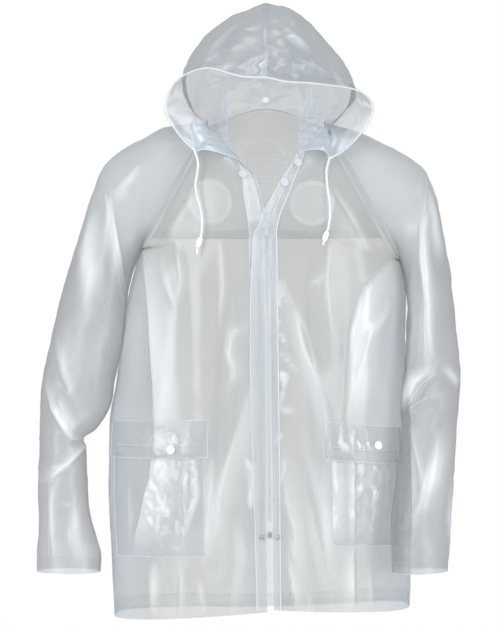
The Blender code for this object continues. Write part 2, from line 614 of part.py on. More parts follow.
def on_back_facets(row, share, height):
    """Points off the flat triangles of the back's own grid, by row and share."""
    rows, shares = back_grid(0, 2)
    corners = lifted(back_point, rows, shares, np.full(rows.shape, height))
    i = np.clip(np.searchsorted(rows[:, 0], row) - 1, 0, len(rows) - 2)
    j = np.clip(np.searchsorted(shares[0], share) - 1, 0, shares.shape[1] - 2)
    u = ((row - rows[i, 0]) / (rows[i + 1, 0] - rows[i, 0]))[..., None]
    v = ((share - shares[0, j]) / (shares[0, j + 1] - shares[0, j]))[..., None]
    a, b, c, d = corners[i, j], corners[i, j + 1], corners[i + 1, j + 1], corners[i + 1, j]
    return np.where(v > u, a + v * (b - a) + u * (c - b), a + u * (d - a) + v * (c - d))


def make_vent(name, x, z):
    """A round of mesh on the inside of the back."""
    count = 20
    radius = np.array([0.35, 0.7, 1.0])[:, None] * VENT_RADIUS
    angle = np.linspace(0, 2 * math.pi, count, endpoint=False)[None, :]
    places_x = np.concatenate([[x], (x + radius * np.cos(angle)).ravel()])
    places_z = np.concatenate([[z], (z + radius * np.sin(angle)).ravel()])
    row, share = locate(back_point, places_x, places_z, 1.4, 0.3 * np.sign(x + 1e-9))
    points = on_back_facets(row, share, -WALL - LAY - 0.0003)
    faces = [(0, 1 + k, 1 + (k + 1) % count) for k in range(count)]
    for ring in range(2):
        a, b = 1 + ring * count, 1 + (ring + 1) * count
        faces += [(a + k, b + k, b + (k + 1) % count, a + (k + 1) % count) for k in range(count)]
    mesh = bpy.data.meshes.new(name)
    mesh.from_pydata([tuple(p) for p in points], [], faces)
    if sum(p.normal.y * p.area for p in mesh.polygons) < 0:
        mesh.flip_normals()
    thick = add_object(name, mesh, MESH_WHITE).modifiers.new("wall", "SOLIDIFY")
    thick.thickness = 0.001
    thick.offset = -1.0


def make_storm_flap():
    rows, shares = front_grid(LEFT, 0, 1.96, (0.0, SEWN_IN))
    row = rows[:, 0]
    reach, at_edge, on_zip, free = np.moveaxis(by_row(STORM_FLAP, row), -1, 0)
    columns = [share_at(LEFT, row, -reach), share_at(LEFT, row, -0.5 * (reach + ZIP_HALF_GAP)),
               share_at(LEFT, row, -ZIP_HALF_GAP), shares[:, 0], shares[:, 1]]
    heights = [free, 0.5 * (on_zip + free), on_zip, at_edge, np.full(row.shape, LAY + 0.0001)]
    grid = lifted(front_left_point, np.repeat(row[:, None], 5, 1), np.stack(columns, 1), np.stack(heights, 1))
    sheet("storm_flap", grid, FILM, (0, 0, -0.4), outwards=True)


def front_left_point(row, share):
    return front_point(LEFT, row, share)


def front_right_point(row, share):
    return front_point(RIGHT, row, share)


def strip(name, side, first_row, last_row, distances, look, height, wall, outwards):
    """A strip along a front's edge, at these distances in from it."""
    rows, shares = front_grid(side, first_row, last_row, distances)
    surface = front_right_point if side == RIGHT else front_left_point
    off = height * (1 + 0.3 * eased(rows * 3 - 4.5)) if height < -WALL else np.full(rows.shape, height)
    sheet(name, lifted(surface, rows, shares, off), look, (0, 0, -0.4), wall, outwards)


def make_zip():
    for side, name in ((RIGHT, "zip_tape_right"), (LEFT, "zip_tape_left")):
        edges = (LAY - ZIP_HALF_GAP, 0.0, SEWN_IN)
        strip(name, side, *ZIP_ROWS, edges, TAPE, -WALL - LAY, ZIP_TAPE_WALL, False)
    edges = (-ZIP_HALF_GAP - ZIP_CHAIN / 2, -ZIP_HALF_GAP + ZIP_CHAIN / 2)
    strip("zip_chain", LEFT, *CHAIN_ROWS, edges, CORD_WHITE, -WALL, ZIP_CHAIN_THICK, True)


def zip_place(row):
    """The middle of the zip at this row, on the outside of the fronts, and how far it leans back."""
    low, high = [(by_row(EDGE_RIGHT, r) + by_row(EDGE_LEFT, r)) / 2 for r in (row - 0.03, row + 0.03)]
    return Vector((low + high) / 2), math.atan2(high[1] - low[1], high[2] - low[2])


def box_mesh(name, boxes):
    """A mesh of boxes, each given by its lowest and its highest corner."""
    mesh = bpy.data.meshes.new(name)
    shape = bmesh.new()
    for low, high in boxes:
        size, middle = np.subtract(high, low), np.add(high, low) / 2
        cube = bmesh.ops.create_cube(shape, size=1.0)["verts"]
        bmesh.ops.scale(shape, vec=size, verts=cube)
        bmesh.ops.translate(shape, vec=middle, verts=cube)
    shape.to_mesh(mesh)
    shape.free()
    return mesh


def join_boxes(name, boxes, look, place, lean):
    """Boxes joined into one solid by a Boolean union, leaning back by an angle."""
    obj = add_object(name, box_mesh(name, boxes[:1]), look)
    obj.location = place
    obj.rotation_euler.x = lean
    for count, spare in enumerate(boxes[1:]):
        join_name = f"{name}_join_{count}"
        helper = add_object(join_name, box_mesh(join_name, [spare]), look, "cutters")
        helper.location = place
        helper.rotation_euler.x = lean
        helper.hide_render = True
        helper.display_type = "WIRE"
        join = obj.modifiers.new(f"join_{count}", "BOOLEAN")
        join.operation = "UNION"
        join.object = helper
    return obj


def make_slider_and_tab():
    place, lean = zip_place(SLIDER_ROW)
    half, tall = SLIDER_WIDTH / 2, SLIDER_HEIGHT / 2
    back, front = 0.0006, 0.0006 - SLIDER_DEPTH
    arch = front - BRIDGE_STAND
    bridge, reach = BRIDGE_WIDTH / 2, BRIDGE_HEIGHT / 2
    join_boxes(
        "zip_slider",
        [
            ((-half, front, -tall), (half, back, tall)),
            ((-bridge, arch, -reach), (bridge, front + 0.0002, -reach + BRIDGE_THICK)),
            ((-bridge + 0.0001, arch, reach - BRIDGE_THICK), (bridge - 0.0001, front + 0.0003, reach)),
            (
                (-bridge - 0.0001, arch - 0.0001, -reach - 0.0001),
                (bridge + 0.0001, arch + BRIDGE_THICK, reach + 0.0001),
            ),
        ],
        NICKEL,
        place,
        -lean,
    )
    # The tab's bar lies under the bridge, on the joint's axis, and the tab hangs from it.
    turn = math.cos(-lean), math.sin(-lean)
    y, z = (arch + BRIDGE_THICK + front) / 2, -reach + BRIDGE_THICK + TAB_BAR
    pivot = place + Vector((0, y * turn[0] - z * turn[1], y * turn[1] + z * turn[0]))
    arm = (TAB_WIDTH - BRIDGE_WIDTH - 4 * LAY) / 2
    edge, bar = TAB_WIDTH / 2, TAB_BAR / 2
    join_boxes(
        "zip_pull_tab",
        [
            ((-edge, -bar, -bar), (edge, bar, bar)),
            ((-edge - 0.0001, -bar - 0.0001, -TAB_WINDOW), (-edge + arm, bar + 0.0001, bar + 0.0001)),
            ((edge - arm, -bar - 0.0001, -TAB_WINDOW), (edge + 0.0001, bar + 0.0001, bar + 0.0001)),
            ((-edge, -bar, -TAB_WINDOW - TAB_LENGTH), (edge, bar, -TAB_WINDOW + 0.0005)),
        ],
        NICKEL,
        pivot,
        -lean,
    )
    low, lean = zip_place(ZIP_BOX_ROW)
    box = join_boxes("zip_box", [((-0.0036, -0.0009, -0.0045), (0.0036, 0.0011, 0.0045))], NICKEL, low, -lean)
    box.modifiers.new("round", "BEVEL").width = 0.0004


def make_pocket(side, suffix):
    inner, outer, low, high, flap_inner, flap_outer, flap_low, flap_high = POCKETS[side]
    surface = front_right_point if side == RIGHT else front_left_point
    rows, shares = front_grid(side, low, high, (), inner, outer)
    across = (shares - shares[:, :1]) / (shares[:, -1:] - shares[:, :1])
    rise = np.sqrt(np.clip((rows - low) / (high - low) * 1.6, 0, 1))
    off = LAY + 0.0002 + POCKET_PUFF * np.sin(np.pi * across) ** 0.7 * rise
    sheet(f"pocket_{suffix}", lifted(surface, rows, shares, off), FILM, (0, 0, -0.4), outwards=True)
    rows, shares = front_grid(side, flap_low, flap_high, (), flap_inner, flap_outer)
    # Where the pocket lies below, the flap lies on it; its ends hang past the pocket.
    start, width = share_at(side, rows, BAND), 1 - share_at(side, rows, BAND)
    across = np.clip(((shares - start) / width - inner) / (outer - inner), 0, 1)
    below = np.where(rows <= high, 1.0, 0.0)
    off = LAY + 0.0002 + (WALL + 0.0006 + POCKET_PUFF * np.sin(np.pi * across) ** 0.7) * below
    sheet(f"pocket_flap_{suffix}", lifted(surface, rows, shares, off), FILM, (0, 0, -0.4), outwards=True)


def turned(name, profile, look, place, axis, steps=16):
    """A turned shape: its profile about Z by a Screw modifier, set along an axis."""
    mesh = bpy.data.meshes.new(name)
    count = len(profile)
    edges = [(k, k + 1) for k in range(count - 1)]
    if profile[0][0] > 0:
        edges.append((count - 1, 0))
    mesh.from_pydata([(radius, 0.0, z) for radius, z in profile], edges, [])
    obj = add_object(name, mesh, look)
    obj.location = place
    obj.rotation_mode = "QUATERNION"
    obj.rotation_quaternion = Vector(axis).to_track_quat("Z", "Y")
    screw = obj.modifiers.new("turn", "SCREW")
    screw.axis = "Z"
    screw.steps = screw.render_steps = steps
    screw.use_merge_vertices = True
    screw.merge_threshold = 1e-5
    screw.use_normal_calculate = True
    return obj


def snap_on(name, piece, x, z, above, facing):
    """A press stud lying flat on a piece, its base clear of the highest point under it."""
    grid = LAID[piece]
    steps = np.linspace(0, 1, 9)
    u, v = np.meshgrid(steps, steps)
    corners = [grid[:-1, :-1], grid[:-1, 1:], grid[1:, 1:], grid[1:, :-1]]
    weights = [(1 - u) * (1 - v), u * (1 - v), u * v, (1 - u) * v]
    spots = sum(w.ravel()[:, None] * c[..., None, :] for w, c in zip(weights, corners)).reshape(-1, 3)
    away = np.hypot(spots[:, 0] - x, spots[:, 2] - z)
    near = spots[(away < SNAP_RADIUS * 1.15) & (spots[:, 1] * facing > 0)]
    middle = near.mean(axis=0)
    normal = np.linalg.svd(near - middle)[2][2]
    normal = normal * np.sign(normal[1] * facing)
    top = ((near - middle) @ normal).max() + above + LAY
    spot = np.array([x, middle[1], z])
    spot[1] -= ((spot - middle) @ normal) / normal[1]
    turned(name, SNAP_PROFILE, PLASTIC_WHITE, Vector(spot + normal * top), Vector(normal))


def make_snaps():
    snap_on("snap_pocket_right", "pocket_flap_right", -0.147, -0.511, WALL, -1)
    snap_on("snap_pocket_left", "pocket_flap_left", 0.172, -0.506, WALL, -1)
    snap_on("snap_flap_upper", "storm_flap", 0.0475, -0.0695, WALL + 0.0006, -1)
    snap_on("snap_flap_lower", "storm_flap", 0.0265, -0.0995, WALL, -1)
    snap_on("snap_band_upper", "front_right", -0.0610, -0.0590, 0.0, -1)
    snap_on("snap_band_lower", "placket_right", -0.0380, -0.0870, WALL, -1)
    low, place, high = [Vector(hood_point(LEFT, hoop, 1.0)) for hoop in (0.4, 0.7, 1.0)]
    inwards = Vector((0, low.z - high.z, high.y - low.y)).normalized()
    place.x = 0
    turned("snap_hood", SNAP_PROFILE, PLASTIC_WHITE, place + inwards * (WALL + LAY + 0.0006), inwards)


def make_cord_end(side, suffix):
    """A free end of the drawcord, with its stop."""
    ends = channel_line(side, np.array([MOUTH_HOOP, MOUTH_HOOP + 0.08]))
    out = (ends[0] - ends[1]) / np.linalg.norm(ends[0] - ends[1])
    route = np.array([ends[0] + out * LAY, ends[0] + out * 0.0055, *CORD_ROUTES[side]])
    line = through(route, np.linspace(0, len(route) - 1, 400))
    cord_tube(f"cord_{suffix}", line, 0.0055)
    back = np.cumsum(np.linalg.norm(np.diff(line[::-1], axis=0), axis=1))
    last = int(np.searchsorted(back, CORD_TAIL[side]))
    first = int(np.searchsorted(back, CORD_TAIL[side] + CORD_STOP_LENGTH))
    end, start = Vector(line[::-1][last]), Vector(line[::-1][first])
    turned(f"cord_stop_{suffix}", STOP_PROFILE, PLASTIC_WHITE, start, end - start, 12)


def cord_tube(name, line, spacing):
    """A cord: a curve with a round section and filled caps."""
    run = np.concatenate([[0], np.cumsum(np.linalg.norm(np.diff(line, axis=0), axis=1))])
    at = run if spacing is None else np.linspace(0, run[-1], int(run[-1] / spacing) + 2)
    points = np.stack([np.interp(at, run, line[:, k]) for k in range(3)], axis=1)
    curve = bpy.data.curves.new(name, "CURVE")
    curve.dimensions = "3D"
    spline = curve.splines.new("POLY")
    spline.points.add(len(points) - 1)
    for knot, point in zip(spline.points, points):
        knot.co = (*point, 1.0)
    curve.bevel_depth = CORD / 2
    curve.bevel_resolution = 2
    curve.use_fill_caps = True
    add_object(name, curve, CORD_WHITE)


def channel_line(side, hoops):
    """The drawcord's middle line beside the hood's rim, where its channel holds it."""
    edge = hood_point(side, hoops, np.zeros(hoops.shape))
    inner = hood_point(side, hoops, np.full(hoops.shape, 0.04))
    way = edge - inner
    return edge + way / np.linalg.norm(way, axis=1, keepdims=True) * (CORD / 2 + LAY + 0.0005)


def make_hood_cord():
    """The drawcord in its channel, from one mouth round the face opening to the other."""
    hoops = np.concatenate([[MOUTH_HOOP], [h for h in hood_hoops() if h > MOUTH_HOOP + 0.1]])
    right, left = channel_line(RIGHT, hoops), channel_line(LEFT, hoops)
    top = (right[-1:] + left[-1:]) / 2
    cord_tube("hood_cord", np.concatenate([right[:-1], top, left[-2::-1]]), None)


def main():
    start_clean()
    make_front(RIGHT, "front_right")
    make_front(LEFT, "front_left")
    make_back()
    make_cape()
    make_vent("vent_centre", -0.002, -0.052)
    make_vent("vent_right", -0.092, -0.117)
    make_vent("vent_left", 0.077, -0.119)
    make_sleeve(RIGHT, "sleeve_right")
    make_sleeve(LEFT, "sleeve_left")
    make_hood(RIGHT, "hood_right")
    make_hood(LEFT, "hood_left")
    make_hood_cord()
    make_storm_flap()
    strip("placket_right", RIGHT, *PLACKET_ROWS, (0.0, SEWN_IN, BAND), FILM, LAY + 0.0001, WALL, True)
    make_zip()
    make_slider_and_tab()
    for side, suffix in ((RIGHT, "right"), (LEFT, "left")):
        make_pocket(side, suffix)
        make_cord_end(side, suffix)
    make_snaps()


main()
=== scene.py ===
"""The looks of the hooded rain jacket of clear film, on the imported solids.

Metres, +Z up, the front towards -Y. Right and left are the wearer's, so the right side is at -X.
Each cut piece is a thin surface on its solid's form, with finer folds. Tables of lengths that
metres() reads are in millimetres.
"""

import math
from functools import partial

import bpy
import numpy as np
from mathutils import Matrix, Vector


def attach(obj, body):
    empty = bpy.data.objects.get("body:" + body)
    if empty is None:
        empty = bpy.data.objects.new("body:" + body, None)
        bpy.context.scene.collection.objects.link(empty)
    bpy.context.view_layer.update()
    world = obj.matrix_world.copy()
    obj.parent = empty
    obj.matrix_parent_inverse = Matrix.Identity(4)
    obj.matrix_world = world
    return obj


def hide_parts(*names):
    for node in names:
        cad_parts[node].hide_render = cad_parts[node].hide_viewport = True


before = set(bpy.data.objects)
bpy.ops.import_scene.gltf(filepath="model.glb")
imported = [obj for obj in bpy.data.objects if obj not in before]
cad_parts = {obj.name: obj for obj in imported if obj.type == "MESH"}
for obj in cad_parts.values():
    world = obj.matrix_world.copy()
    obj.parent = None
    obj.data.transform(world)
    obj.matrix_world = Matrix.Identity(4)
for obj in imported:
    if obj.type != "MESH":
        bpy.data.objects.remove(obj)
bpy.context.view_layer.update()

# Sizes of the solids, as they are cut

RIGHT, LEFT = -1, 1
SIDES = ((RIGHT, "right"), (LEFT, "left"))
AFTER_ROW = slice(1, None)  # a table's columns after the one for its rows


def metres(rows, lengths=slice(None)):
    """These rows as an array in metres. The columns of lengths are written in millimetres."""
    table = np.array(rows, float)
    table[..., lengths] = (table[..., lengths] / 1000).round(7)
    return table


WALL = 0.0012  # the film, as a wall
SEAM = 0.0005  # room between two pieces at a seam
LAY = 0.0003  # room between a panel and what lies on it
DROOP = 2.3  # power of the superellipse that a level section of the body follows
NECK_POWER = 1.15  # the same, across the chest and shoulders
NECK_TURN = 0.346  # where the raglan seams meet the neckline, as an angle on the first sleeve ring

ZIP_HALF_GAP = 0.005  # from the middle of the zip to the edge of either front
SEWN_IN = 0.0105  # how far the storm flap is sewn in from an edge
BAND = 0.0220  # width of the band along the right front's V
CORD = 0.0036  # diameter of the drawcord
ON_TOP = LAY + 0.0002  # from a panel to the film sewn on it
UNDER = -0.0016  # from a panel to a second layer of film inside it
MID_WALL = -0.0006  # from a panel to the middle of its edge
HEM, HEM_STITCH = 0.022, 0.020  # width of the jacket's turned hem, and where it is sewn
TURNED = 0.013  # width of the turned edge of the cape and the storm flap
ALLOWANCE, SEAM_STITCH = 0.009, 0.0075  # the same for the seams of front and back
VENT_RADIUS = 0.038

# The edge of each front, from the hem up to the neck. Up to 1 the rows are below the armpit,
# and from 1 to 2 they run up the V.
#   row, x, y, z
EDGES = {
    RIGHT: metres([
        (0, 1, -163, -760), (0.3, -0.5, -166, -590), (0.6, -2.2, -167, -425), (0.85, -3.8, -163, -280),
        (1, -4.8, -154, -190), (1.1, -5.3, -150, -172), (1.3, -7.5, -147, -150), (1.55, -13, -142, -123),
        (1.8, -21, -128, -95), (2, -37, -102, -68),
    ], AFTER_ROW),
    LEFT: metres([
        (0, 11, -163, -757), (0.3, 9.5, -166, -588), (0.6, 7.8, -167, -423), (0.85, 6.2, -163, -280),
        (1, 5.2, -154, -190), (1.1, 4.9, -150, -172), (1.3, 10, -147, -148), (1.5, 21, -141, -123),
        (1.7, 33, -130, -98), (1.87, 46, -115, -75), (2, 55, -101, -53),
    ], AFTER_ROW),
}
#   row, x, y, z, up the middle of the back
BACK_MIDDLE = metres([
    (0, 0, 150, -788), (0.3, 0, 153, -600), (0.6, 0, 152, -430), (0.85, 0, 149, -280), (1, 0, 146, -195),
    (1.25, 0, 137, -135), (1.5, 0, 123, -80), (1.75, 0, 101, -22), (2, 0, 70, 31),
], AFTER_ROW)
#   row, out, z, up the side seams to the armpit
SIDE_SEAM = {
    RIGHT: metres([
        (0, 242, -782), (0.14, 246, -691), (0.26, 250, -622), (0.38, 251, -552), (0.53, 248, -470),
        (0.63, 238, -415), (0.74, 230, -352), (0.84, 222.2, -296), (0.9, 214.5, -256), (0.95, 206.4, -226),
        (1, 197.8, -198),
    ], AFTER_ROW),
    LEFT: metres([
        (0, 229, -767), (0.14, 231, -691), (0.27, 233, -622), (0.4, 232, -552), (0.55, 229, -472),
        (0.65, 226, -419), (0.78, 220.5, -352), (0.89, 222, -280), (0.95, 218.8, -246), (1, 212.8, -216),
    ], AFTER_ROW),
}
# Each ring of a sleeve has its outer point, its point under the arm and its depth before and
# behind the line between them. The first ring is the raglan seam.
#   outer: out, z, inner: out, z, outer y, inner y, front, back, power
SLEEVE_RINGS = {
    RIGHT: metres([
        (93, 3, 199, -198, 0, 0, 90, 92, 2.3), (157, -3, 202, -206, 0, 0, 89, 90, 2.25),
        (202, -26, 208, -221, 0, 0, 87, 88, 2.2), (242, -50, 213, -238, 0, 0, 84, 85, 2.15),
        (263, -74, 217, -256, 0, 0, 81, 82, 2.1), (278, -115, 221, -278, 0, -2, 78, 79, 2.05),
        (291, -152, 225, -300, 0, -5, 76, 76, 2), (322, -253, 232, -356, 0, -15, 70, 68, 2),
        (346, -358, 241, -418, -4, -30, 65, 62, 2), (359, -425, 249, -453, -12, -32, 61, 58, 2),
        (361, -470, 268, -482, -18, -32, 58, 54, 2), (361, -497, 292, -498, -22, -31, 55, 50, 2),
        (360, -520, 285, -520, -26, -34, 54, 48, 2), (361, -560, 283, -563, -31, -36, 52, 46, 2),
        (361, -610, 280, -610, -36, -40, 50, 45, 2), (361, -650, 270, -652, -41, -46, 48, 44, 2),
        (362, -680, 262, -679, -45, -50, 47, 44, 2), (362, -708, 261, -708, -50, -55, 46, 44, 2),
    ], slice(8)),
    LEFT: metres([
        (93, 3, 214, -216, 0, 0, 90, 92, 2.3), (154, -14, 216, -223, 0, 0, 89, 90, 2.25),
        (210, -42, 219, -236, 0, -2, 87, 88, 2.2), (238, -58, 222, -252, 0, -8, 84, 85, 2.15),
        (257, -78, 223, -270, 0, -16, 81, 81, 2.1), (272, -118, 224, -292, 0, -26, 77, 77, 2.05),
        (286, -190, 222, -328, -4, -44, 73, 69, 2), (298, -278, 219, -368, -14, -62, 68, 62, 2),
        (305, -358, 215, -414, -34, -82, 64, 54, 2), (305, -424, 211, -452, -58, -97, 60, 48, 2),
        (298, -485, 208, -492, -80, -112, 57, 45, 2), (294, -531, 204, -531, -94, -121, 55, 44, 2),
        (289, -580, 199, -579, -107, -130, 52, 43, 2), (284, -626, 193, -625, -117, -136, 50, 42, 2),
        (282, -665, 193, -665, -124, -139, 48, 42, 2), (281, -699, 194, -701, -128, -141, 47, 41, 2),
    ], slice(8)),
}
# Hoops of each half of the hood, from the neckline up to the crown seam: the face opening's
# edge, the widest point of the side, how far the cheek folds in, and the seam behind.
#   edge: out, y, z, side: out, y, z, fold, back: y, z
HOOD_HOOPS = {
    RIGHT: metres([
        (37, -102, -68, 94, -5, 0, 0, 70, 31), (104, -110, -50, 107, 5, 16, 20, 83, 49),
        (145, -86, -6, 125, 10, 35, 26, 97, 68), (156, -60, 27, 133, 15, 61, 22, 108, 92),
        (139, -65, 66, 128, 10, 95, 10, 115, 119), (94, -95, 83, 101, 0, 136, 0, 110, 148),
        (41, -125, 68, 54, -10, 170, 0, 85, 173), (0.5, -135, 65, 0.5, -10, 191, 0, 45, 190),
    ]),
    LEFT: metres([
        (55, -101, -53, 94, -5, 0, 0, 70, 31), (94, -112, -60, 107, 5, 13, 4, 83, 49),
        (134, -90, -32, 127, 12, 30, 26, 97, 68), (166, -60, 18, 143, 15, 52, 22, 108, 92),
        (144, -72, 49, 130, 10, 91, 10, 115, 119), (79, -110, 57, 99, 0, 130, 0, 110, 148),
        (33, -128, 59, 51, -10, 175, 0, 85, 173), (0.5, -135, 65, 0.5, -10, 191, 0, 45, 190),
    ]),
}
LAST_HOOP = len(HOOD_HOOPS[RIGHT]) - 1
# The largest folds: soft ridges (or troughs, where the height is negative) along a line.
#   from: x, z, to: x, z, width, height
FRONT_FOLDS = metres([
    (-150, -150, -135, -420, 26, 6), (-200, -260, -190, -460, 20, -6), (-75, -240, -60, -440, 24, -5),
    (-60, -560, -50, -760, 22, 8), (35, -320, 100, -450, 18, 6), (60, -310, 75, -400, 14, -6),
    (45, -560, 85, -760, 22, 8), (150, -160, 165, -420, 24, 6), (125, -230, 135, -460, 18, -5),
])
BACK_FOLDS = metres([
    (-110, -230, -130, -770, 35, 12), (-45, -260, -50, -780, 30, -10), (30, -230, 25, -780, 32, 10),
    (100, -240, 110, -770, 34, -10), (160, -260, 175, -760, 28, 10), (-180, -280, -190, -760, 28, -8),
])
SLEEVE_FOLDS = {
    RIGHT: metres([
        (-256, -110, -236, -350, 16, 8), (-283, -512, -345, -560, 12, -8), (-300, -420, -350, -470, 14, 6),
        (-262, -470, -330, -400, 15, -6), (-320, -270, -340, -400, 16, 6),
    ]),
    LEFT: metres([
        (245, -110, 235, -340, 16, 8), (215, -440, 275, -380, 14, 8), (225, -470, 290, -410, 12, -7),
        (285, -260, 292, -400, 16, -6), (235, -640, 262, -490, 14, 6),
    ]),
}
# Rows of each front, below the armpit and then above it. What is sewn on ends on one of them.
FRONT_ROWS = (0, 0.045, 0.10, 0.155, 0.188, 0.242, 0.32, 0.38, 0.425, 0.46, 0.53, 0.60, 0.70, 0.80, 0.90,
              1.0, 1.1, 1.2, 1.31, 1.43, 1.56, 1.69, 1.80, 1.90, 1.96, 2.0)
BACK_ROWS = (0, 0.08, 0.17, 0.26, 0.35, 0.44, 0.53, 0.62, 0.71, 0.80, 0.90, 1.0,
             1.12, 1.24, 1.36, 1.48, 1.60, 1.72, 1.84, 1.94, 2.0)
CAPE_LOW = 1.12
ZIP_BOX_ROW = 0.207
# The storm flap: how far it reaches past the left front's edge, and how far it stands off that
# edge, off the zip and at its free edge.
#   row, reach, at edge, on zip, at free edge
STORM_FLAP = metres([
    (0, 26, 1.3, 2.6, 2.2), (0.25, 28, 1.3, 2.6, 2.2), (0.6, 32, 1.3, 2.6, 2.2), (0.85, 31, 1.4, 3, 3),
    (0.97, 26, 3, 9, 10), (1.1, 20, 5, 12, 15), (1.3, 15, 4, 9, 13), (1.55, 11, 2, 4, 8),
    (1.8, 9, 1.3, 2.2, 4.5), (1.95, 8, 1.3, 2, 3),
], AFTER_ROW)
PLACKET_ROWS = (0.90, 1.90)
# Patch pockets and their flaps, by columns and rows of the front.
#   inner, outer, bottom, top, flap: inner, outer, bottom, top
POCKETS = {
    RIGHT: (0.325, 0.943, 0.155, 0.46, 0.295, 0.967, 0.425, 0.53),
    LEFT: (0.348, 0.868, 0.188, 0.46, 0.282, 0.900, 0.425, 0.53),
}
POCKET_PUFF = 0.007  # how far a pocket's middle stands off the front

MOUTH_HOOP = 1.2  # where the drawcord leaves its channel
# The drawcord's free ends, from just below the channel's mouth down.
CORD_ROUTES = {
    RIGHT: metres([
        (-107.5, -118, -61), (-106.2, -122.5, -71), (-107, -126, -82), (-108.8, -130, -93),
        (-110, -133.5, -104), (-108.5, -136, -115), (-106, -138.5, -126), (-103, -141, -136),
        (-100.8, -143, -146), (-99.8, -144.8, -156), (-99.6, -146.4, -166), (-100, -147.4, -175),
        (-101.4, -148.2, -183), (-103, -148.7, -188.5), (-104.6, -149.2, -194), (-106.2, -149.7, -199.5),
        (-107, -150, -205), (-106.8, -150.2, -211),
    ]),
    LEFT: metres([
        (95, -119, -71), (93.2, -123, -79), (93, -126.2, -88), (93.4, -130, -98), (94.2, -133, -107),
        (95.6, -135.6, -116), (96.8, -138, -125), (97.8, -140.6, -137), (98, -143, -150),
        (96.8, -145, -160), (95.3, -146.4, -168), (93.6, -147.2, -174), (91.9, -147.9, -179.5),
        (90.2, -148.6, -185), (88.5, -149.3, -190.5), (86.8, -149.8, -196),
    ]),
}


# Curves and surfaces


def spline(a, b, c, d, f):
    """A share f of the way from b to c, on a smooth curve through all four."""
    return b + 0.5 * f * (c - a + f * (2 * a - 5 * b + 4 * c - d + f * (3 * b - a - 3 * c + d)))


def unit(ways):
    """These directions, each of length 1."""
    return ways / np.maximum(np.linalg.norm(ways, axis=-1, keepdims=True), 1e-12)


def run_along(line):
    """How far along a line each of its points is."""
    return np.concatenate([[0], np.cumsum(np.linalg.norm(np.diff(line, axis=0), axis=1))])


def through(points, at):
    """Points on a smooth curve through the given ones; `at` counts along them from 0."""
    points, at = np.asarray(points, float), np.asarray(at, float)
    ends = np.concatenate([[2 * points[0] - points[1]], points, [2 * points[-1] - points[-2]]])
    i = np.clip(np.floor(at).astype(int), 0, len(points) - 2)
    f = (at - i).reshape(at.shape + (1,) * (points.ndim - 1))
    return spline(*(ends[i + k] for k in range(4)), f)


def by_row(table, row):
    """The table's other columns at these rows, smoothly in between."""
    return through(table[:, 1:], np.interp(row, table[:, 0], np.arange(len(table))))


def eased(x):
    x = np.clip(x, 0, 1)
    return x * x * (3 - 2 * x)


def fold_height(x, z, folds):
    """How far the folds lift the cloth at these places."""
    total = np.zeros(np.broadcast(x, z).shape)
    for x0, z0, x1, z1, width, height in folds:
        dx, dz = x1 - x0, z1 - z0
        along = np.clip(((x - x0) * dx + (z - z0) * dz) / (dx * dx + dz * dz), 0, 1)
        away = np.hypot(x - x0 - along * dx, z - z0 - along * dz)
        total += height * np.exp(-((away / width) ** 2)) * (0.35 + 0.65 * np.sin(np.pi * along))
    return total


def sleeve_point(side, ring, turn):
    """A sleeve's surface: ring 0 is the raglan seam, turn 0 the top and a quarter the front."""
    values = np.moveaxis(through(SLEEVE_RINGS[side], ring), -1, 0)
    outer_x, outer_z, inner_x, inner_z, outer_y, inner_y, front, back, power = values
    c, s = np.cos(turn), np.sin(turn)
    along = np.sign(c) * np.abs(c) ** (2 / power)
    depth = np.sign(s) * np.abs(s) ** (2 / power)
    share = 0.5 + 0.5 * along
    x = side * (inner_x + (outer_x - inner_x) * share)
    z = inner_z + (outer_z - inner_z) * share
    y = inner_y + (outer_y - inner_y) * share - np.where(depth > 0, front, back) * depth
    lift = fold_height(x, z, SLEEVE_FOLDS[side]) * eased(ring / 3) * eased(depth * 1.6)
    return np.stack([x, y - lift, z], axis=-1)


def raglan_edge(side, turn):
    """The body's side of the raglan seam, a seam's room from the sleeve."""
    ring = np.zeros(np.shape(turn))
    here, on = sleeve_point(side, ring, turn), sleeve_point(side, ring + 0.2, turn)
    way = unit(here - on)
    under = eased(-np.cos(turn) * 2.5 - 0.5)[..., None]
    room = (SEAM + 0.0009 * eased(np.cos(turn) * 2 - 0.2))[..., None]
    return here + room * way * (1 - under) + np.array([-side * 0.0012, 0, 0]) * under


def outer_edge(side, row, behind):
    """Where a level row of the front or back ends: at the side seam, then the raglan seam."""
    row = np.asarray(row, float)
    out, z = np.moveaxis(by_row(SIDE_SEAM[side], np.clip(row, 0, 1)), -1, 0)
    y = np.full(row.shape, SEAM / 2 if behind else -SEAM / 2)
    seam = np.stack([side * out, y, z], axis=-1)
    turn = math.pi - np.clip(row - 1, 0, 1) * (math.pi - NECK_TURN)
    raglan = raglan_edge(side, 2 * math.pi - turn if behind else turn)
    raglan[..., 1] += y
    return np.where((row <= 1)[..., None], seam, raglan)


def body_point(middle, end, row, share, level):
    """A point of a level row: share 0 is its middle and 1 its end, where it turns the side."""
    power = DROOP + (NECK_POWER - DROOP) * eased((row - 1) * 2)
    swell = (1 - np.clip(np.abs(share), 0, 1) ** DROOP) ** (1 / power)
    z = middle[..., 2] + (end[..., 2] - middle[..., 2]) * np.abs(share) ** level
    x = middle[..., 0] + (end[..., 0] - middle[..., 0]) * share
    y = end[..., 1] + (middle[..., 1] - end[..., 1]) * swell
    return np.stack([x, y, z], axis=-1)


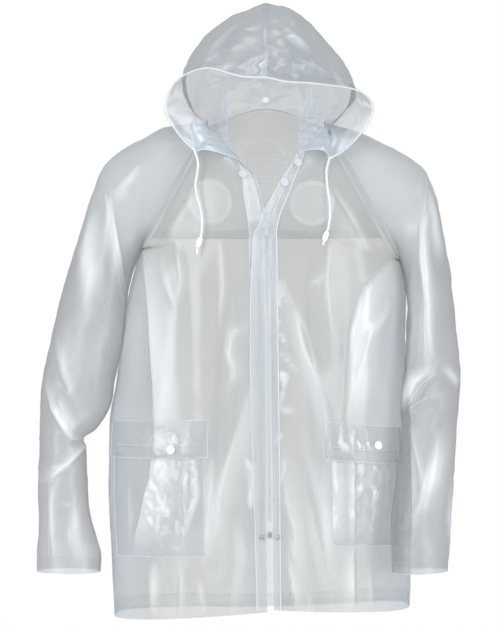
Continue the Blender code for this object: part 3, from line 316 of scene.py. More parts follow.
def front_point(side, row, share):
    """The outside of a front. Shares below 0 reach past its edge, over the zip."""
    row, share = np.broadcast_arrays(np.asarray(row, float), np.asarray(share, float))
    middle = by_row(EDGES[side], row)
    point = body_point(middle, outer_edge(side, row, False), row, share, 1.0)
    calm = eased((1 - np.abs(share)) * 5) * eased(np.abs(share) * 8) * eased((2 - row) * 3)
    point[..., 1] -= fold_height(point[..., 0], point[..., 2], FRONT_FOLDS) * calm
    return point


def back_point(row, share):
    """The outside of the back; share -1 is the right side seam and 1 the left."""
    row, share = np.broadcast_arrays(np.asarray(row, float), np.asarray(share, float))
    middle = by_row(BACK_MIDDLE, row)
    ends = np.where((share < 0)[..., None], outer_edge(RIGHT, row, True), outer_edge(LEFT, row, True))
    point = body_point(middle, ends, row, np.abs(share), 1.7)
    calm = eased((1 - np.abs(share)) * 5) * eased((1.1 - row) * 3)
    point[..., 1] += fold_height(point[..., 0], point[..., 2], BACK_FOLDS) * calm
    return point


def neckline(side, share):
    """Half of the neckline, from the front's corner round to the middle of the back."""
    steps = np.linspace(0, 1, 25)
    turns = NECK_TURN * np.linspace(1, -1, 9)[1:-1]
    line = np.concatenate([
        front_point(side, 2.0, steps),
        sleeve_point(side, np.zeros(turns.shape), turns),
        back_point(2.0, side * steps[::-1]),
    ])
    run = run_along(line)
    return np.stack([np.interp(share * run[-1], run, line[:, k]) for k in range(3)], axis=-1)


def hood_point(side, hoop, share):
    """A half of the hood: share 0 is the face opening's edge and 1 the seam behind."""
    hoop, share = np.broadcast_arrays(np.asarray(hoop, float), np.asarray(share, float))
    values = np.moveaxis(through(HOOD_HOOPS[side], np.maximum(hoop, 1)), -1, 0)
    edge_x, edge_y, edge_z, side_x, side_y, side_z, fold, back_y, back_z = values
    bow = math.sqrt(0.5)
    knots = np.moveaxis(np.array([
        (edge_x, edge_y, edge_z),
        (0.55 * edge_x + 0.45 * side_x - fold, 0.62 * edge_y + 0.38 * side_y - 0.3 * fold,
         0.55 * edge_z + 0.45 * side_z),
        (side_x, side_y, side_z),
        (bow * side_x, side_y + bow * (back_y - side_y), 0.5 * (side_z + back_z)),
        (0 * back_y, back_y, back_z),
    ]), 1, -1)
    at = np.clip(share, 0, 1) * 4
    i = np.clip(np.floor(at).astype(int), 0, 3)
    # The seam behind is crossed level, as if the other half went on.
    beyond = knots[3] * np.array([-1.0, 1.0, 1.0])
    whole = np.concatenate([[2 * knots[0] - knots[1]], knots, [beyond]])
    pick = [np.take_along_axis(whole, (i + k)[None, ..., None], axis=0)[0] for k in range(4)]
    point = spline(*pick, (at - i)[..., None])
    room = SEAM * 0.7 + 0.0009 * eased(hoop - 6) * eased(share * 3 - 1.2)
    point[..., 0] = side * (np.maximum(point[..., 0], 0) + room)
    foot = neckline(side, share) + np.array([0, 0, 0.0022])
    foot[..., 1] -= 0.0016 * (1 - eased(share * 6))
    foot[..., 0] += side * SEAM * 0.7 * eased(share * 3 - 2)
    up = np.clip(hoop, 0, 1)
    # The foot stands out from the front before it folds over.
    over_front = 1 - eased(share * 3.5 - 0.6)
    rise = np.sin(np.pi * np.clip(hoop / (1 + 0.9 * eased(share * 6)), 0, 1)) ** 0.7
    out = (0.0045 + 0.0045 * over_front) * rise * (1 - eased(share * 5 - 3))
    out += 0.0130 * (1 - eased(share * 5)) * np.sin(np.pi * up) ** 0.5
    way = over_front[..., None] * np.array([0.45 * side, -0.80, 0.35])
    way += (1 - over_front[..., None]) * np.array([0.20 * side, -0.25, 0.90])
    return point * up[..., None] + foot * (1 - up[..., None]) + out[..., None] * way


def lifted(surface, a, b, height):
    """Points of a surface moved out along its normal; the surface takes two grids."""
    step = 1e-3
    point = surface(a, b)
    across, down = surface(a, b + step) - surface(a, b - step), surface(a + step, b) - surface(a - step, b)
    normal = unit(np.cross(across, down))
    flip = np.where((normal[..., :2] * point[..., :2]).sum(-1) < 0, -1.0, 1.0)[..., None]
    return point + normal * flip * np.asarray(height)[..., None]


def share_at(side, row, distance):
    """The share of a front's row at a distance in from its edge, in metres."""
    middle = by_row(EDGES[side], row)
    width = np.linalg.norm((outer_edge(side, row, False) - middle)[..., [0, 2]], axis=-1)
    return distance / width


def curved_shares(count, first=0.0, last=1.0):
    """Shares of a row that are even in angle, and so closer together where the side turns."""
    ends = [math.asin(np.clip(abs(s), 0, 1) ** (DROOP / 2)) * np.sign(s) for s in (first, last)]
    angle = np.linspace(ends[0], ends[1], count)
    return np.sign(angle) * np.abs(np.sin(angle)) ** (2 / DROOP)


# Finer form

# Creases of the film, finer than the solids' folds: ridges, or troughs below 0. Widths are on the
# photo's left and right of a path that goes down.
#   left width, right width, height, then x and z of each point of the path, in millimetres
CREASES = {
    "front_right": [
        (3, 36, 6, -193, -198, -179, -312, -172, -416, -172, -500),
        (18, 12, -3, -121, -195, -118, -327, -115, -469),
        (4, 14, 2.2, -26, -313, -54, -335, -58, -366, -47, -392, -57, -417),
        (5, 26, 2.6, -15, -394, -36, -467, -61, -544, -72, -596, -88, -689),
        (6, 16, 2.2, -79, -528, -90, -621, -95, -683), (4, 9, 3, -164, -206, -155, -257, -140, -296),
        (4, 7, 2, -141, -190, -132, -245, -137, -300), (3, 6, 1.6, -70, -190, -66, -260, -72, -330),
        (4, 10, 3, -180, -690, -176, -775), (4, 8, 2, -130, -700, -134, -775),
        (3, 6, 2, -100, -715, -98, -770), (5, 14, 2.2, -50, -600, -45, -690, -55, -770),
        (6, 10, 1.8, -110, -110, -135, -150, -160, -190),
    ],
    "front_left": [
        (16, 7, 3, 29, -265, 60, -363, 86, -456, 91, -518),
        (5, 40, 7, 195, -223, 154, -265, 134, -332, 123, -468),
        (4, 12, 4, 189, -269, 181, -300, 158, -331, 138, -393), (2, 6, 3.2, 17, -262, 34, -290),
        (3, 6, 3, 18, -358, 37, -381, 50, -396), (2, 6, 3.2, 17, -330, 32, -352),
        (3, 6, 3.4, 18, -448, 42, -455), (2, 5, 2, 19, -250, 28, -270),
        (6, 20, 2.6, 24, -520, 45, -640, 52, -760), (6, 16, 2.4, 55, -490, 81, -595, 96, -700),
        (24, 3, 3, 133, -663, 134, -775), (3, 7, 2.4, 65, -262, 96, -239), (3, 20, 3, 33, -669, 49, -770),
        (3, 7, 2, 95, -190, 90, -260, 98, -330), (6, 10, 1.8, 100, -100, 130, -150, 165, -205),
        (3, 8, 2.5, 62, -720, 66, -775), (3, 6, 1.6, 160, -700, 164, -775),
    ],
    "sleeve_right": [
        (14, 3, 5.5, -245, -105, -239, -156, -231, -218, -223, -276),
        (12, 3, 4.5, -223, -270, -226, -338, -231, -393), (14, 22, 6, -268, -125, -281, -207, -284, -290),
        (4, 12, 5.5, -346, -415, -335, -451, -308, -497, -280, -502),
        (12, 3, 6, -276, -497, -315, -544, -345, -565), (3, 8, 3, -339, -564, -338, -621, -335, -680),
        (4, 9, 3.5, -327, -431, -308, -477, -304, -497), (4, 10, 3, -330, -340, -318, -400, -300, -440),
        (5, 12, 3, -300, -590, -305, -650, -296, -690), (3, 5, 1.6, -322, -600, -300, -604),
        (6, 14, 3.5, -190, -60, -215, -90, -240, -110),
    ],
    "sleeve_left": [
        (12, 12, 5, 251, -99, 262, -172, 273, -220), (4, 13, 5, 242, -105, 242, -207, 250, -291, 247, -389),
        (14, 4, 6, 257, -389, 231, -409, 211, -451), (5, 12, -4.5, 259, -404, 242, -435, 211, -466),
        (8, 22, 6, 267, -490, 251, -544, 231, -610), (4, 10, 4, 273, -385, 298, -415),
        (3, 7, 2.5, 222, -480, 235, -540, 240, -620), (3, 8, 3, 285, -560, 280, -620, 284, -680),
        (3, 6, 2.2, 228, -230, 230, -320, 226, -380),
    ],
    "hood_right": [
        (4, 8, 2, -40, 165, -80, 125, -100, 80), (2, 4, 3, -3, 151, -3, 118),
        (3, 6, 2.6, -108, 70, -114, 30, -108, -10), (3, 7, 2.4, -100, 65, -60, 84, -30, 75),
    ],
    "hood_left": [
        (7, 7, 5, 34, 142, 66, 111), (3, 8, 2.4, 100, 90, 118, 50, 105, 20), (3, 6, 2.6, 115, 45, 108, 20),
        (3, 7, 2.4, 40, 76, 70, 86, 95, 74),
    ],
    "pocket_right": [
        (3, 44, 5, -172, -480, -178, -560, -190, -605, -206, -668),
        (8, 4, 3.5, -118, -477, -110, -544, -107, -586, -134, -668),
        (4, 8, 2.5, -150, -540, -146, -600, -160, -660), (3, 5, 2, -130, -560, -124, -620, -128, -670),
        (3, 6, 2, -215, -560, -212, -620, -214, -665),
    ],
    "pocket_left": [
        (3, 30, 4, 96, -500, 99, -600, 104, -670), (16, 3, 3.5, 133, -500, 133, -600, 133, -672),
        (4, 10, 2, 160, -540, 166, -600, 158, -665), (3, 6, 1.6, 190, -530, 186, -620),
    ],
    "pocket_flap_right": [(3, 36, 3, -171, -474, -173, -522), (8, 3, 1.6, -120, -474, -116, -522)],
    "pocket_flap_left": [
        (3, 6, 3, 112, -472, 116, -520), (8, 3, 3, 134, -472, 132, -520), (2, 4, 1.4, 150, -472, 156, -500),
    ],
    "back": [
        (8, 30, 5, -70, -230, -82, -500, -80, -760), (30, 8, 5, 10, -300, 4, -550, 0, -770),
        (6, 26, 4.5, 70, -240, 80, -480, 75, -700), (26, 6, 5, 140, -300, 152, -540, 150, -760),
        (8, 22, 4.5, -150, -260, -162, -520, -155, -740), (4, 10, 3, 195, -240, 185, -360, 178, -450),
        (10, 4, 3, -195, -240, -188, -350, -180, -440),
    ],
    "back_cape": [
        (6, 20, 3, -110, -90, -100, -180), (20, 6, 3, 90, -80, 100, -180), (10, 14, 2.5, 0, -60, -10, -180),
    ],
}


# Ovals of tight crumples on a piece.
#   x, z, half width, half height, height of a crumple, its size, in millimetres
CRUMPLES = {
    "front_left": [
        (21, -300, 10, 50, 1.6, 30), (24, -390, 12, 50, 2, 34), (22, -520, 10, 60, 1.4, 32),
    ],
    "front_right": [(-30, -560, 14, 90, 1.2, 45)],
    "hood_right": [(-9, 82, 10, 13, 2.6, 11), (-52, -30, 16, 22, 2.4, 30)],
    "hood_left": [(1, 82, 4, 13, 2.4, 11), (60, 86, 22, 10, 1.6, 24), (75, -40, 22, 34, 3.4, 26)],
    "pocket_right": [(-135, -545, 24, 46, 2.2, 30), (-155, -620, 26, 50, 2.6, 36)],
    "pocket_left": [(108, -580, 10, 70, 1.6, 24), (160, -560, 30, 40, 1.2, 30)],
    "pocket_flap_right": [(-150, -498, 30, 20, 0.8, 18)],
    "pocket_flap_left": [(130, -498, 40, 20, 1, 20)],
}


FULL_HIGHLIGHT_HEIGHT = 0.0045  # a crease of this height or more gets the full painted highlight


def creased(x, z, creases):
    """How far the creases lift the film at these places, and the painted highlight along their ridges."""
    total, pale = np.zeros(np.broadcast(x, z).shape), np.zeros(np.broadcast(x, z).shape)
    for row in creases:
        left, right, height, *path = metres(row)
        path = np.reshape(path, (-1, 2))
        steps = np.linalg.norm(np.diff(path, axis=0), axis=1)
        starts = run_along(path)
        nearest = np.full(total.shape, 1e9)
        side, run = np.zeros(total.shape), np.zeros(total.shape)
        for k, (x0, z0) in enumerate(path[:-1]):
            dx, dz = path[k + 1] - path[k]
            along = np.clip(((x - x0) * dx + (z - z0) * dz) / steps[k] ** 2, 0, 1)
            away = np.hypot(x - x0 - along * dx, z - z0 - along * dz)
            closer = away < nearest
            nearest = np.where(closer, away, nearest)
            side = np.where(closer, (x - x0) * dz - (z - z0) * dx, side)
            run = np.where(closer, starts[k] + along * steps[k], run)
        width = left + (right - left) * eased(0.5 - side / (0.006 * steps.mean()))
        form = np.exp(-((nearest / width) ** 2)) * np.sin(np.pi * (0.06 + 0.88 * run / starts[-1])) ** 0.8
        total += height * form
        pale = np.maximum(pale, min(abs(height) / FULL_HIGHLIGHT_HEIGHT, 1.0) * (height > 0) * form)
    return total, pale


def crumples_at(grid, crumples, seed):
    """Small tight crumples within ovals of the film, and the painted highlight on them."""
    total, pale = np.zeros(grid.shape[:2]), np.zeros(grid.shape[:2])
    for k, (x, z, half_wide, half_high, height, scale) in enumerate(metres(crumples)):
        within = np.exp(-(((grid[..., 0] - x) / half_wide) ** 2) - (((grid[..., 2] - z) / half_high) ** 2))
        field = noise_field(grid * np.array([1.0, 1.0, 0.5]), scale, seed + k, 2)
        total += height * within * field
        pale = np.maximum(pale, within * eased(1.6 * field))
    return total, pale


def noise_field(points, scale, seed, octaves=3):
    """Smooth noise from -1 to 1 at each point: a sum of slanted waves, the same each run."""
    draw = np.random.default_rng(seed)
    total, size = np.zeros(points.shape[:-1]), 0.0
    for octave in range(octaves):
        weight = 0.5**octave
        for _ in range(7):
            way = draw.normal(size=3)
            way /= np.linalg.norm(way)
            bend = draw.normal(size=3)
            phase = draw.uniform(0, 2 * math.pi)
            run = points @ way * (2 * math.pi * 2**octave / scale)
            total += weight * np.sin(run + phase + 1.3 * np.sin(points @ bend * (4 / scale)))
        size += weight * math.sqrt(3.5) * 1.6
    return np.clip(total / size, -1, 1)


PAINTED_HIGHLIGHT = {}  # by piece, the painted highlight at each point of it


def crinkle(points, scale, seed):
    """Thin ridges that wander, from 0 to 1: where a smooth field crosses 0."""
    return np.exp(-((noise_field(points, scale, seed, 2) / 0.2) ** 2))


def normals_of(grid, ring=False):
    """Unit normals of a grid of points."""
    if ring:
        wide = np.concatenate([grid[:, -1:], grid, grid[:, :1]], axis=1)
        across = wide[:, 2:] - wide[:, :-2]
    else:
        across = np.gradient(grid, axis=1)
    return unit(np.cross(across, np.gradient(grid, axis=0)))


def facing_out(grid, inside, ring):
    """The grid's normals, turned away from the wearer."""
    normal = normals_of(grid, ring)
    middle = grid.mean(axis=1, keepdims=True) if ring else np.asarray(inside)
    way = (grid - middle) * np.array([1.0, 1.0, 0.6])
    return normal if (way * normal).sum() > 0 else -normal


INSIDE = (0, 0, -0.4)  # a point inside the jacket


def crumpled(grid, inside, name, small, scale, seed, calm, ring=False):
    """A grid moved along its normals by its creases and by small crumples. Gives points and normals."""
    normal = facing_out(grid, inside, ring)
    lift, pale = np.zeros(grid.shape[:2]), np.zeros(grid.shape[:2])
    if name in CREASES:
        lift, pale = creased(grid[..., 0], grid[..., 2], CREASES[name])
    if name in CRUMPLES:
        crumple, pale_there = crumples_at(grid, CRUMPLES[name], seed + 90)
        lift, pale = lift + crumple, np.maximum(pale, pale_there)
    # On a sleeve, the creases and their painted highlight are only on its front.
    if ring:
        front = eased(0.5 - 1.5 * normal[..., 1])
        lift, pale = lift * front, pale * front
    PAINTED_HIGHLIGHT[name] = pale
    lift = lift + small * noise_field(grid, scale, seed)
    lift = lift + 0.35 * small * crinkle(grid, 1.6 * scale, seed + 50)
    moved = grid + normal * (lift * calm)[..., None]
    return moved, facing_out(moved, inside, ring)


def edge_calm(rows, columns, reach=0.05, sides=True):
    """Near 0 at a grid's edges and 1 inside, so that seams stay put."""
    u = np.linspace(0, 1, columns)[None, :]
    v = np.linspace(0, 1, rows)[:, None]
    calm = eased(np.minimum(v, 1 - v) / reach + 0.15) * np.ones((1, columns))
    return calm * eased(np.minimum(u, 1 - u) / reach + 0.15) if sides else calm


def dense(values, extra):
    """More steps between these values."""
    values = np.asarray(values, float)
    at = np.linspace(0, len(values) - 1, (len(values) - 1) * extra + 1)
    return np.interp(at, np.arange(len(values)), values)


SIDE_SPREAD = 0.0013


def spread(grid, rows, shares):
    """A body's grid with its sides moved out a little below the armpit, to lie against the sleeves."""
    reach = SIDE_SPREAD * eased((np.abs(shares) - 0.86) / 0.14)
    reach = reach * eased((rows - 0.45) / 0.1) * eased((1.02 - rows) / 0.05)
    return grid + np.stack([np.sign(grid[..., 0]) * reach, 0 * reach, 0 * reach], axis=-1)


FRONTS = {side: partial(front_point, side) for side, _ in SIDES}


def locate(surface, x, z, row, share):
    """The row and share at which a surface has these x and z, from a first guess."""
    step = 1e-4
    row, share = np.full(np.shape(x), row, float), np.full(np.shape(x), share, float)
    for _ in range(12):
        here = surface(row, share)
        down, across = (surface(row + step, share) - here) / step, (surface(row, share + step) - here) / step
        dx, dz = x - here[..., 0], z - here[..., 2]
        det = down[..., 0] * across[..., 2] - across[..., 0] * down[..., 2]
        row = row + np.clip((dx * across[..., 2] - dz * across[..., 0]) / det, -0.2, 0.2)
        share = share + np.clip((down[..., 0] * dz - down[..., 2] * dx) / det, -0.2, 0.2)
    return row, share


# Meshes


def closed_up(grid, ring):
    """A ring's grid with its first column again at the end."""
    return np.concatenate([grid, grid[:, :1]], axis=1) if ring else grid


def corners_of(grid):
    """The four corners of each cell of a grid, in order."""
    return grid[:-1, :-1], grid[:-1, 1:], grid[1:, 1:], grid[1:, :-1]


def lengths(grid):
    """How far each point is along its row and its column, in metres, for a texture's map."""
    across = np.linalg.norm(np.diff(grid, axis=1), axis=-1).mean(axis=0)
    down = np.linalg.norm(np.diff(grid, axis=0), axis=-1).mean(axis=1)
    return np.concatenate([[0], np.cumsum(across)]), np.concatenate([[0], np.cumsum(down)])


def placed(name, data):
    """A new object, in the scene."""
    obj = bpy.data.objects.new(name, data)
    bpy.context.scene.collection.objects.link(obj)
    return obj


def new_piece(name, points, polygons, look, smooth=True):
    """A piece of the scene from its points and its faces, all with the same count of corners."""
    mesh = bpy.data.meshes.new(name)
    mesh.vertices.add(len(points))
    mesh.vertices.foreach_set("co", np.asarray(points, np.float32).ravel())
    polygons = np.asarray(polygons, np.int32)
    mesh.loops.add(polygons.size)
    mesh.loops.foreach_set("vertex_index", polygons.ravel())
    mesh.polygons.add(len(polygons))
    mesh.polygons.foreach_set("loop_start", np.arange(0, polygons.size, polygons.shape[1], dtype=np.int32))
    mesh.update(calc_edges=True)
    if smooth:
        mesh.shade_smooth()
    mesh.materials.append(look)
    obj = placed(name, mesh)
    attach(obj, "jacket")
    return obj


def cloth(name, grid, look, ring=False, **marks):
    """A thin piece of cloth through a fine grid of points, with a map in metres."""
    rows, columns = grid.shape[:2]
    index = closed_up(np.arange(rows * columns).reshape(rows, columns), ring)
    obj = new_piece(name, grid.reshape(-1, 3), np.stack(corners_of(index), axis=-1).reshape(-1, 4), look)
    maps = np.stack(np.meshgrid(*lengths(closed_up(grid, ring))), axis=-1)
    layer = obj.data.uv_layers.new(name="cloth")
    layer.data.foreach_set("uv", np.stack(corners_of(maps), axis=2).astype(np.float32).ravel())
    for mark, values in marks.items():
        layer = obj.data.attributes.new(mark, "FLOAT", "POINT")
        layer.data.foreach_set("value", values.astype(np.float32).ravel())
    return obj


def oriented(both, edge):
    """Points with normals, turned so that axis 0 goes inwards from this edge."""
    if edge in ("near", "far"):
        both = both.transpose(1, 0, 2)
    return both[::-1] if edge in ("far", "last") else both


def inset(laid, edge, distances):
    """Lines of points and normals at distances in from an edge of a laid grid."""
    both = oriented(np.concatenate(laid, axis=-1), edge)
    run = np.linalg.norm(np.diff(both[..., :3], axis=0), axis=-1)
    run = np.concatenate([np.zeros((1, run.shape[1])), np.cumsum(run, axis=0)])
    lines = np.empty((len(distances), both.shape[1], 6))
    for j in range(both.shape[1]):
        for k in range(6):
            lines[:, j, k] = np.interp(distances, run[:, j], both[:, j, k])
    return lines


def off(lines, lift):
    return lines[..., :3] + lines[..., 3:] * lift


def band(name, laid, edge, near, far, lift, look, steps=4):
    """A second layer along an edge, between two distances in from it."""
    return cloth(name, off(inset(laid, edge, np.linspace(near, far, steps)), lift), look)


def tube(line, radius, sides=6, closed=False):
    """Points and quads of a thin tube along a line."""
    line = np.asarray(line)
    way = np.roll(line, -1, axis=0) - np.roll(line, 1, axis=0) if closed else np.gradient(line, axis=0)
    way = unit(way)
    across = np.cross(way, (0.13, 0.21, 0.97))
    across[np.linalg.norm(across, axis=1) < 0.1] = (1.0, 0.0, 0.0)
    across = unit(across)
    other = np.cross(way, across)
    angle = np.linspace(0, 2 * math.pi, sides, endpoint=False)
    rings = line[:, None] + radius * (np.cos(angle)[None, :, None] * across[:, None]
                                      + np.sin(angle)[None, :, None] * other[:, None])
    index = np.arange(len(line) * sides).reshape(len(line), sides)
    if closed:
        index = np.concatenate([index, index[:1]])
    turn = np.roll(index, -1, axis=1)
    quads = np.stack([index[:-1], turn[:-1], turn[1:], index[1:]], axis=-1).reshape(-1, 4)
    return rings.reshape(-1, 3), quads


class Gathered:
    """Small shapes of one kind, joined into one piece."""

    def __init__(self):
        self.points, self.polygons, self.count = [], [], 0

    def add(self, points, polygons):
        self.points.append(points)
        self.polygons.append(np.asarray(polygons) + self.count)
        self.count += len(points)

    def add_all(self, shapes, polygons):
        """Many shapes with the same faces."""
        faces = np.array(polygons) + shapes.shape[1] * np.arange(len(shapes))[:, None, None]
        self.add(shapes.reshape(-1, 3), faces.reshape(-1, faces.shape[-1]))

    def piece(self, name, look, smooth=True):
        return new_piece(name, np.concatenate(self.points), np.concatenate(self.polygons), look, smooth)


BEADS, HIGHLIGHT_LINES, THREADS = Gathered(), Gathered(), {}
BOX_FACES = [(0, 1, 3, 2), (4, 6, 7, 5), (0, 4, 5, 1), (2, 3, 7, 6), (0, 2, 6, 4), (1, 5, 7, 3)]
STITCH_FORM = np.array([[-1, 0, 0], [-0.6, 1, 0], [-0.6, 0, 1], [-0.6, -1, 0], [0.6, 1, 0], [0.6, 0, 1],
                        [0.6, -1, 0], [1, 0, 0]])
STITCH_FACES = [(0, 2, 1), (0, 3, 2), (1, 2, 5), (1, 5, 4), (2, 3, 6), (2, 6, 5), (4, 5, 7), (5, 6, 7)]


def bead(line, radius=0.0005):
    """A cut or folded edge of the film, where it gathers light; its pale colour and glow are painted light.
    """
    BEADS.add(*tube(line, radius))


def edge_line(laid, edge, lift):
    return off(inset(laid, edge, [0.0])[0], lift)


def stitches(group, line, normal, pitch=0.0034, length=0.0024, radius=0.00025):
    """A row of stitches along a line that lies on the cloth."""
    run = run_along(line)
    at = np.arange(pitch / 2, run[-1] - pitch / 2, pitch)
    if len(at) == 0:
        return
    middle, ahead, up = (np.stack([np.interp(where, run, values[:, k]) for k in range(3)], axis=1)
                         for where, values in ((at, line), (at + 0.001, line), (at, normal)))
    way = unit(ahead - middle)
    side = np.cross(up, way)
    frame_of = np.stack([way * length / 2, side * radius, up * radius * 1.6], axis=1)
    points = middle[:, None] + np.einsum("vk,nkc->nvc", STITCH_FORM, frame_of)
    THREADS.setdefault(group, Gathered()).add_all(points, STITCH_FACES)


def sewn(group, laid, edge, distance, lift=0.0001):
    lines = inset(laid, edge, [distance])[0]
    stitches(group, off(lines, lift), lines[:, 3:])


# Materials


def new_material(name):
    made = bpy.data.materials.new(name)
    made.use_nodes = True
    tree = made.node_tree
    return made, tree.nodes, tree.links, tree.nodes["Principled BSDF"]


def values_on(node, **values):
    """Sets a node's sockets. An underscore in a name stands for a space."""
    for name, value in values.items():
        node.inputs[name.replace("_", " ")].default_value = value
    return node


def noise_in(nodes, links, stretch, **values):
    """Noise in object space."""
    place = nodes.new("ShaderNodeTexCoord")
    turn = values_on(nodes.new("ShaderNodeMapping"), Scale=stretch)
    noise = values_on(nodes.new("ShaderNodeTexNoise"), **values)
    links.new(place.outputs["Object"], turn.inputs["Vector"])
    links.new(turn.outputs["Vector"], noise.inputs["Vector"])
    return noise.outputs["Fac"]


def bump_from(nodes, links, shader, scale, distance, detail, stretch=(1, 1, 1)):
    """Small unevenness."""
    bump = values_on(nodes.new("ShaderNodeBump"), Strength=0.6, Distance=distance)
    noise = noise_in(nodes, links, stretch, Scale=scale, Detail=detail, Distortion=0.5)
    links.new(noise, bump.inputs["Height"])
    links.new(bump.outputs["Normal"], shader.inputs["Normal"])


def marked(nodes, name):
    """The share that a mark of the cloth has at each place."""
    mark = nodes.new("ShaderNodeAttribute")
    mark.attribute_name = name
    return mark.outputs["Fac"]


def tinted(nodes, links, share, first, second):
    """A colour between two, of which the first may be another node's."""
    mix = nodes.new("ShaderNodeMix")
    mix.data_type = "RGBA"
    mix.inputs[7].default_value = (*second, 1.0)
    if isinstance(first, tuple):
        mix.inputs[6].default_value = (*first, 1.0)
    else:
        links.new(first, mix.inputs[6])
    links.new(share, mix.inputs[0])
    return mix.outputs[2]


HIGHLIGHT_DENSITY = 0.34  # how much less see-through film is under the full painted highlight
SIDE_REFLECTION_COLOUR = (0.48, 0.545, 0.61)  # the painted bluish reflection on the film's sides, where marked


# painted_glow is emission: painted light on parts that the layers in front of them keep in shade. The film's
# glow is bluish white.
def film_material(name, colour, opacity, edge_opacity, roughness=0.27, bump=(11.0, 0.0016, 2.0), painted_glow=0.0,
                  pale=(0.88, 0.90, 0.91), haze_scale=7.0, stretch=(1, 1, 1), uneven=0.15):
    """Clear film: milky, mostly see-through, cloudier at a glancing angle, paler and denser where a painted
    highlight is marked, with a painted bluish reflection and glow where set.
    """
    made, nodes, links, shader = new_material(name)
    cloud = values_on(nodes.new("ShaderNodeMapRange"), From_Min=0.3, From_Max=0.7,
                      To_Min=opacity * (1 - uneven), To_Max=opacity * (1 + uneven))
    links.new(noise_in(nodes, links, stretch, Scale=haze_scale, Detail=3.0), cloud.inputs["Value"])
    facing = values_on(nodes.new("ShaderNodeLayerWeight"), Blend=0.35)
    mix = values_on(nodes.new("ShaderNodeMix"), B=edge_opacity)
    links.new(facing.outputs["Facing"], mix.inputs["Factor"])
    links.new(cloud.outputs["Result"], mix.inputs["A"])
    highlight_share = marked(nodes, "pale")
    denser = nodes.new("ShaderNodeMath")
    denser.operation = "MULTIPLY_ADD"
    denser.use_clamp = True
    denser.inputs[1].default_value = HIGHLIGHT_DENSITY
    links.new(highlight_share, denser.inputs[0])
    links.new(mix.outputs["Result"], denser.inputs[2])
    links.new(denser.outputs["Value"], shader.inputs["Alpha"])
    side_reflected = tinted(nodes, links, marked(nodes, "cool"), colour, SIDE_REFLECTION_COLOUR)
    links.new(tinted(nodes, links, highlight_share, side_reflected, pale), shader.inputs["Base Color"])
    bump_from(nodes, links, shader, *bump)
    values_on(shader, Roughness=roughness, IOR=1.6, Specular_IOR_Level=0.7,
              Emission_Color=(0.86, 0.93, 1.0, 1.0), Emission_Strength=painted_glow)
    return made


# painted_glow is emission: painted light.
def plain_material(name, colour, roughness, metallic=0.0, grain=None, alpha=1.0, painted_glow=0.0):
    made, nodes, links, shader = new_material(name)
    values_on(shader, Emission_Color=(1.0, 1.0, 1.0, 1.0), Emission_Strength=painted_glow, Base_Color=(*colour, 1.0),
              Alpha=alpha, Roughness=roughness, Metallic=metallic)
    if grain:
        bump_from(nodes, links, shader, *grain, 3.0)
    return made


# A bump is a scale, a height, a detail and, where it has one, a stretch.
STREAKS = {"haze_scale": 90.0, "stretch": (1, 1, 0.03), "uneven": 0.55}
# These are all one clear film. The pieces' colours, opacities and glows differ to give each the tone it
# shows under the lamps, so they hold painted light and shade: the storm flap, rims and edges are lighter as
# painted light.
FILM = film_material("clear_film", (0.375, 0.385, 0.368), 0.43, 0.58)
FILM_BACK = film_material("clear_film_back", (0.40, 0.41, 0.40), 0.36, 0.58)
FILM_SLEEVE = film_material("clear_film_sleeve", (0.343, 0.360, 0.374), 0.43, 0.64, roughness=0.36)
FILM_HOOD = film_material("clear_film_hood", (0.335, 0.367, 0.395), 0.54, 0.54, roughness=0.24,
                          bump=(11.0, 0.0020, 2.0), pale=(0.80, 0.86, 0.92))
FILM_CHANNEL = film_material("clear_film_channel", (0.62, 0.66, 0.69), 0.20, 0.3)
FILM_FOLD = film_material("clear_film_fold", (0.70, 0.78, 0.87), 0.36, 0.55, roughness=0.24,
                          bump=(30.0, 0.0016, 2.0), painted_glow=0.10)
FILM_LAID = film_material("clear_film_laid", (0.74, 0.79, 0.83), 0.11, 0.24)
# Painted shade: the cape is darker than the other film, as if in shade over the back.
SHADED_FILM_CAPE = film_material("clear_film_cape_shaded", (0.27, 0.285, 0.30), 0.27, 0.42)
FILM_POCKET = film_material("clear_film_pocket", (0.52, 0.56, 0.60), 0.22, 0.4, roughness=0.2,
                            bump=(22.0, 0.0024, 3.0))
FILM_FLAP = film_material("clear_film_flap", (0.75, 0.785, 0.81), 0.27, 0.5, roughness=0.2,
                          bump=(30.0, 0.0014, 2.0, (1, 1, 0.2)), painted_glow=0.14, **STREAKS)
FILM_HEM = film_material("clear_film_hem", (0.52, 0.54, 0.54), 0.18, 0.3)
FILM_RIM = film_material("clear_film_rim", (0.93, 0.95, 0.97), 0.5, 0.6, painted_glow=0.2)
FILM_EDGE = film_material("clear_film_edge", (0.88, 0.91, 0.93), 0.36, 0.6, painted_glow=0.16)
# Painted highlight: bright tubes along sharp folds and along the storm flap's sewn edge.
HIGHLIGHT_LINE_LOOK = plain_material("painted_highlight_line", (0.95, 0.96, 0.97), 0.35, alpha=0.62, painted_glow=0.05)
THREAD_LOOK = plain_material("white_thread", (0.82, 0.84, 0.85), 0.6, alpha=0.4)
CORD_LOOK = plain_material("white_cord", (0.90, 0.91, 0.91), 0.7, grain=(900.0, 0.0006))
PLASTIC_LOOK = plain_material("white_plastic", (0.92, 0.93, 0.93), 0.28, grain=(300.0, 0.0001), painted_glow=0.22)
CLEAR_PLASTIC = plain_material("clear_plastic", (0.84, 0.87, 0.89), 0.25, alpha=0.6)
TOOTH_LOOK = plain_material("zip_coil", (0.80, 0.85, 0.88), 0.35, alpha=0.7)
NICKEL_LOOK = plain_material("nickel", (0.50, 0.51, 0.52), 0.3, metallic=1.0, grain=(500.0, 0.0001))
TAPE_LOOK = film_material("zip_tape", (0.80, 0.85, 0.88), 0.26, 0.4, roughness=0.55,
                          bump=(900.0, 0.0002, 1.0), painted_glow=0.06, **STREAKS)
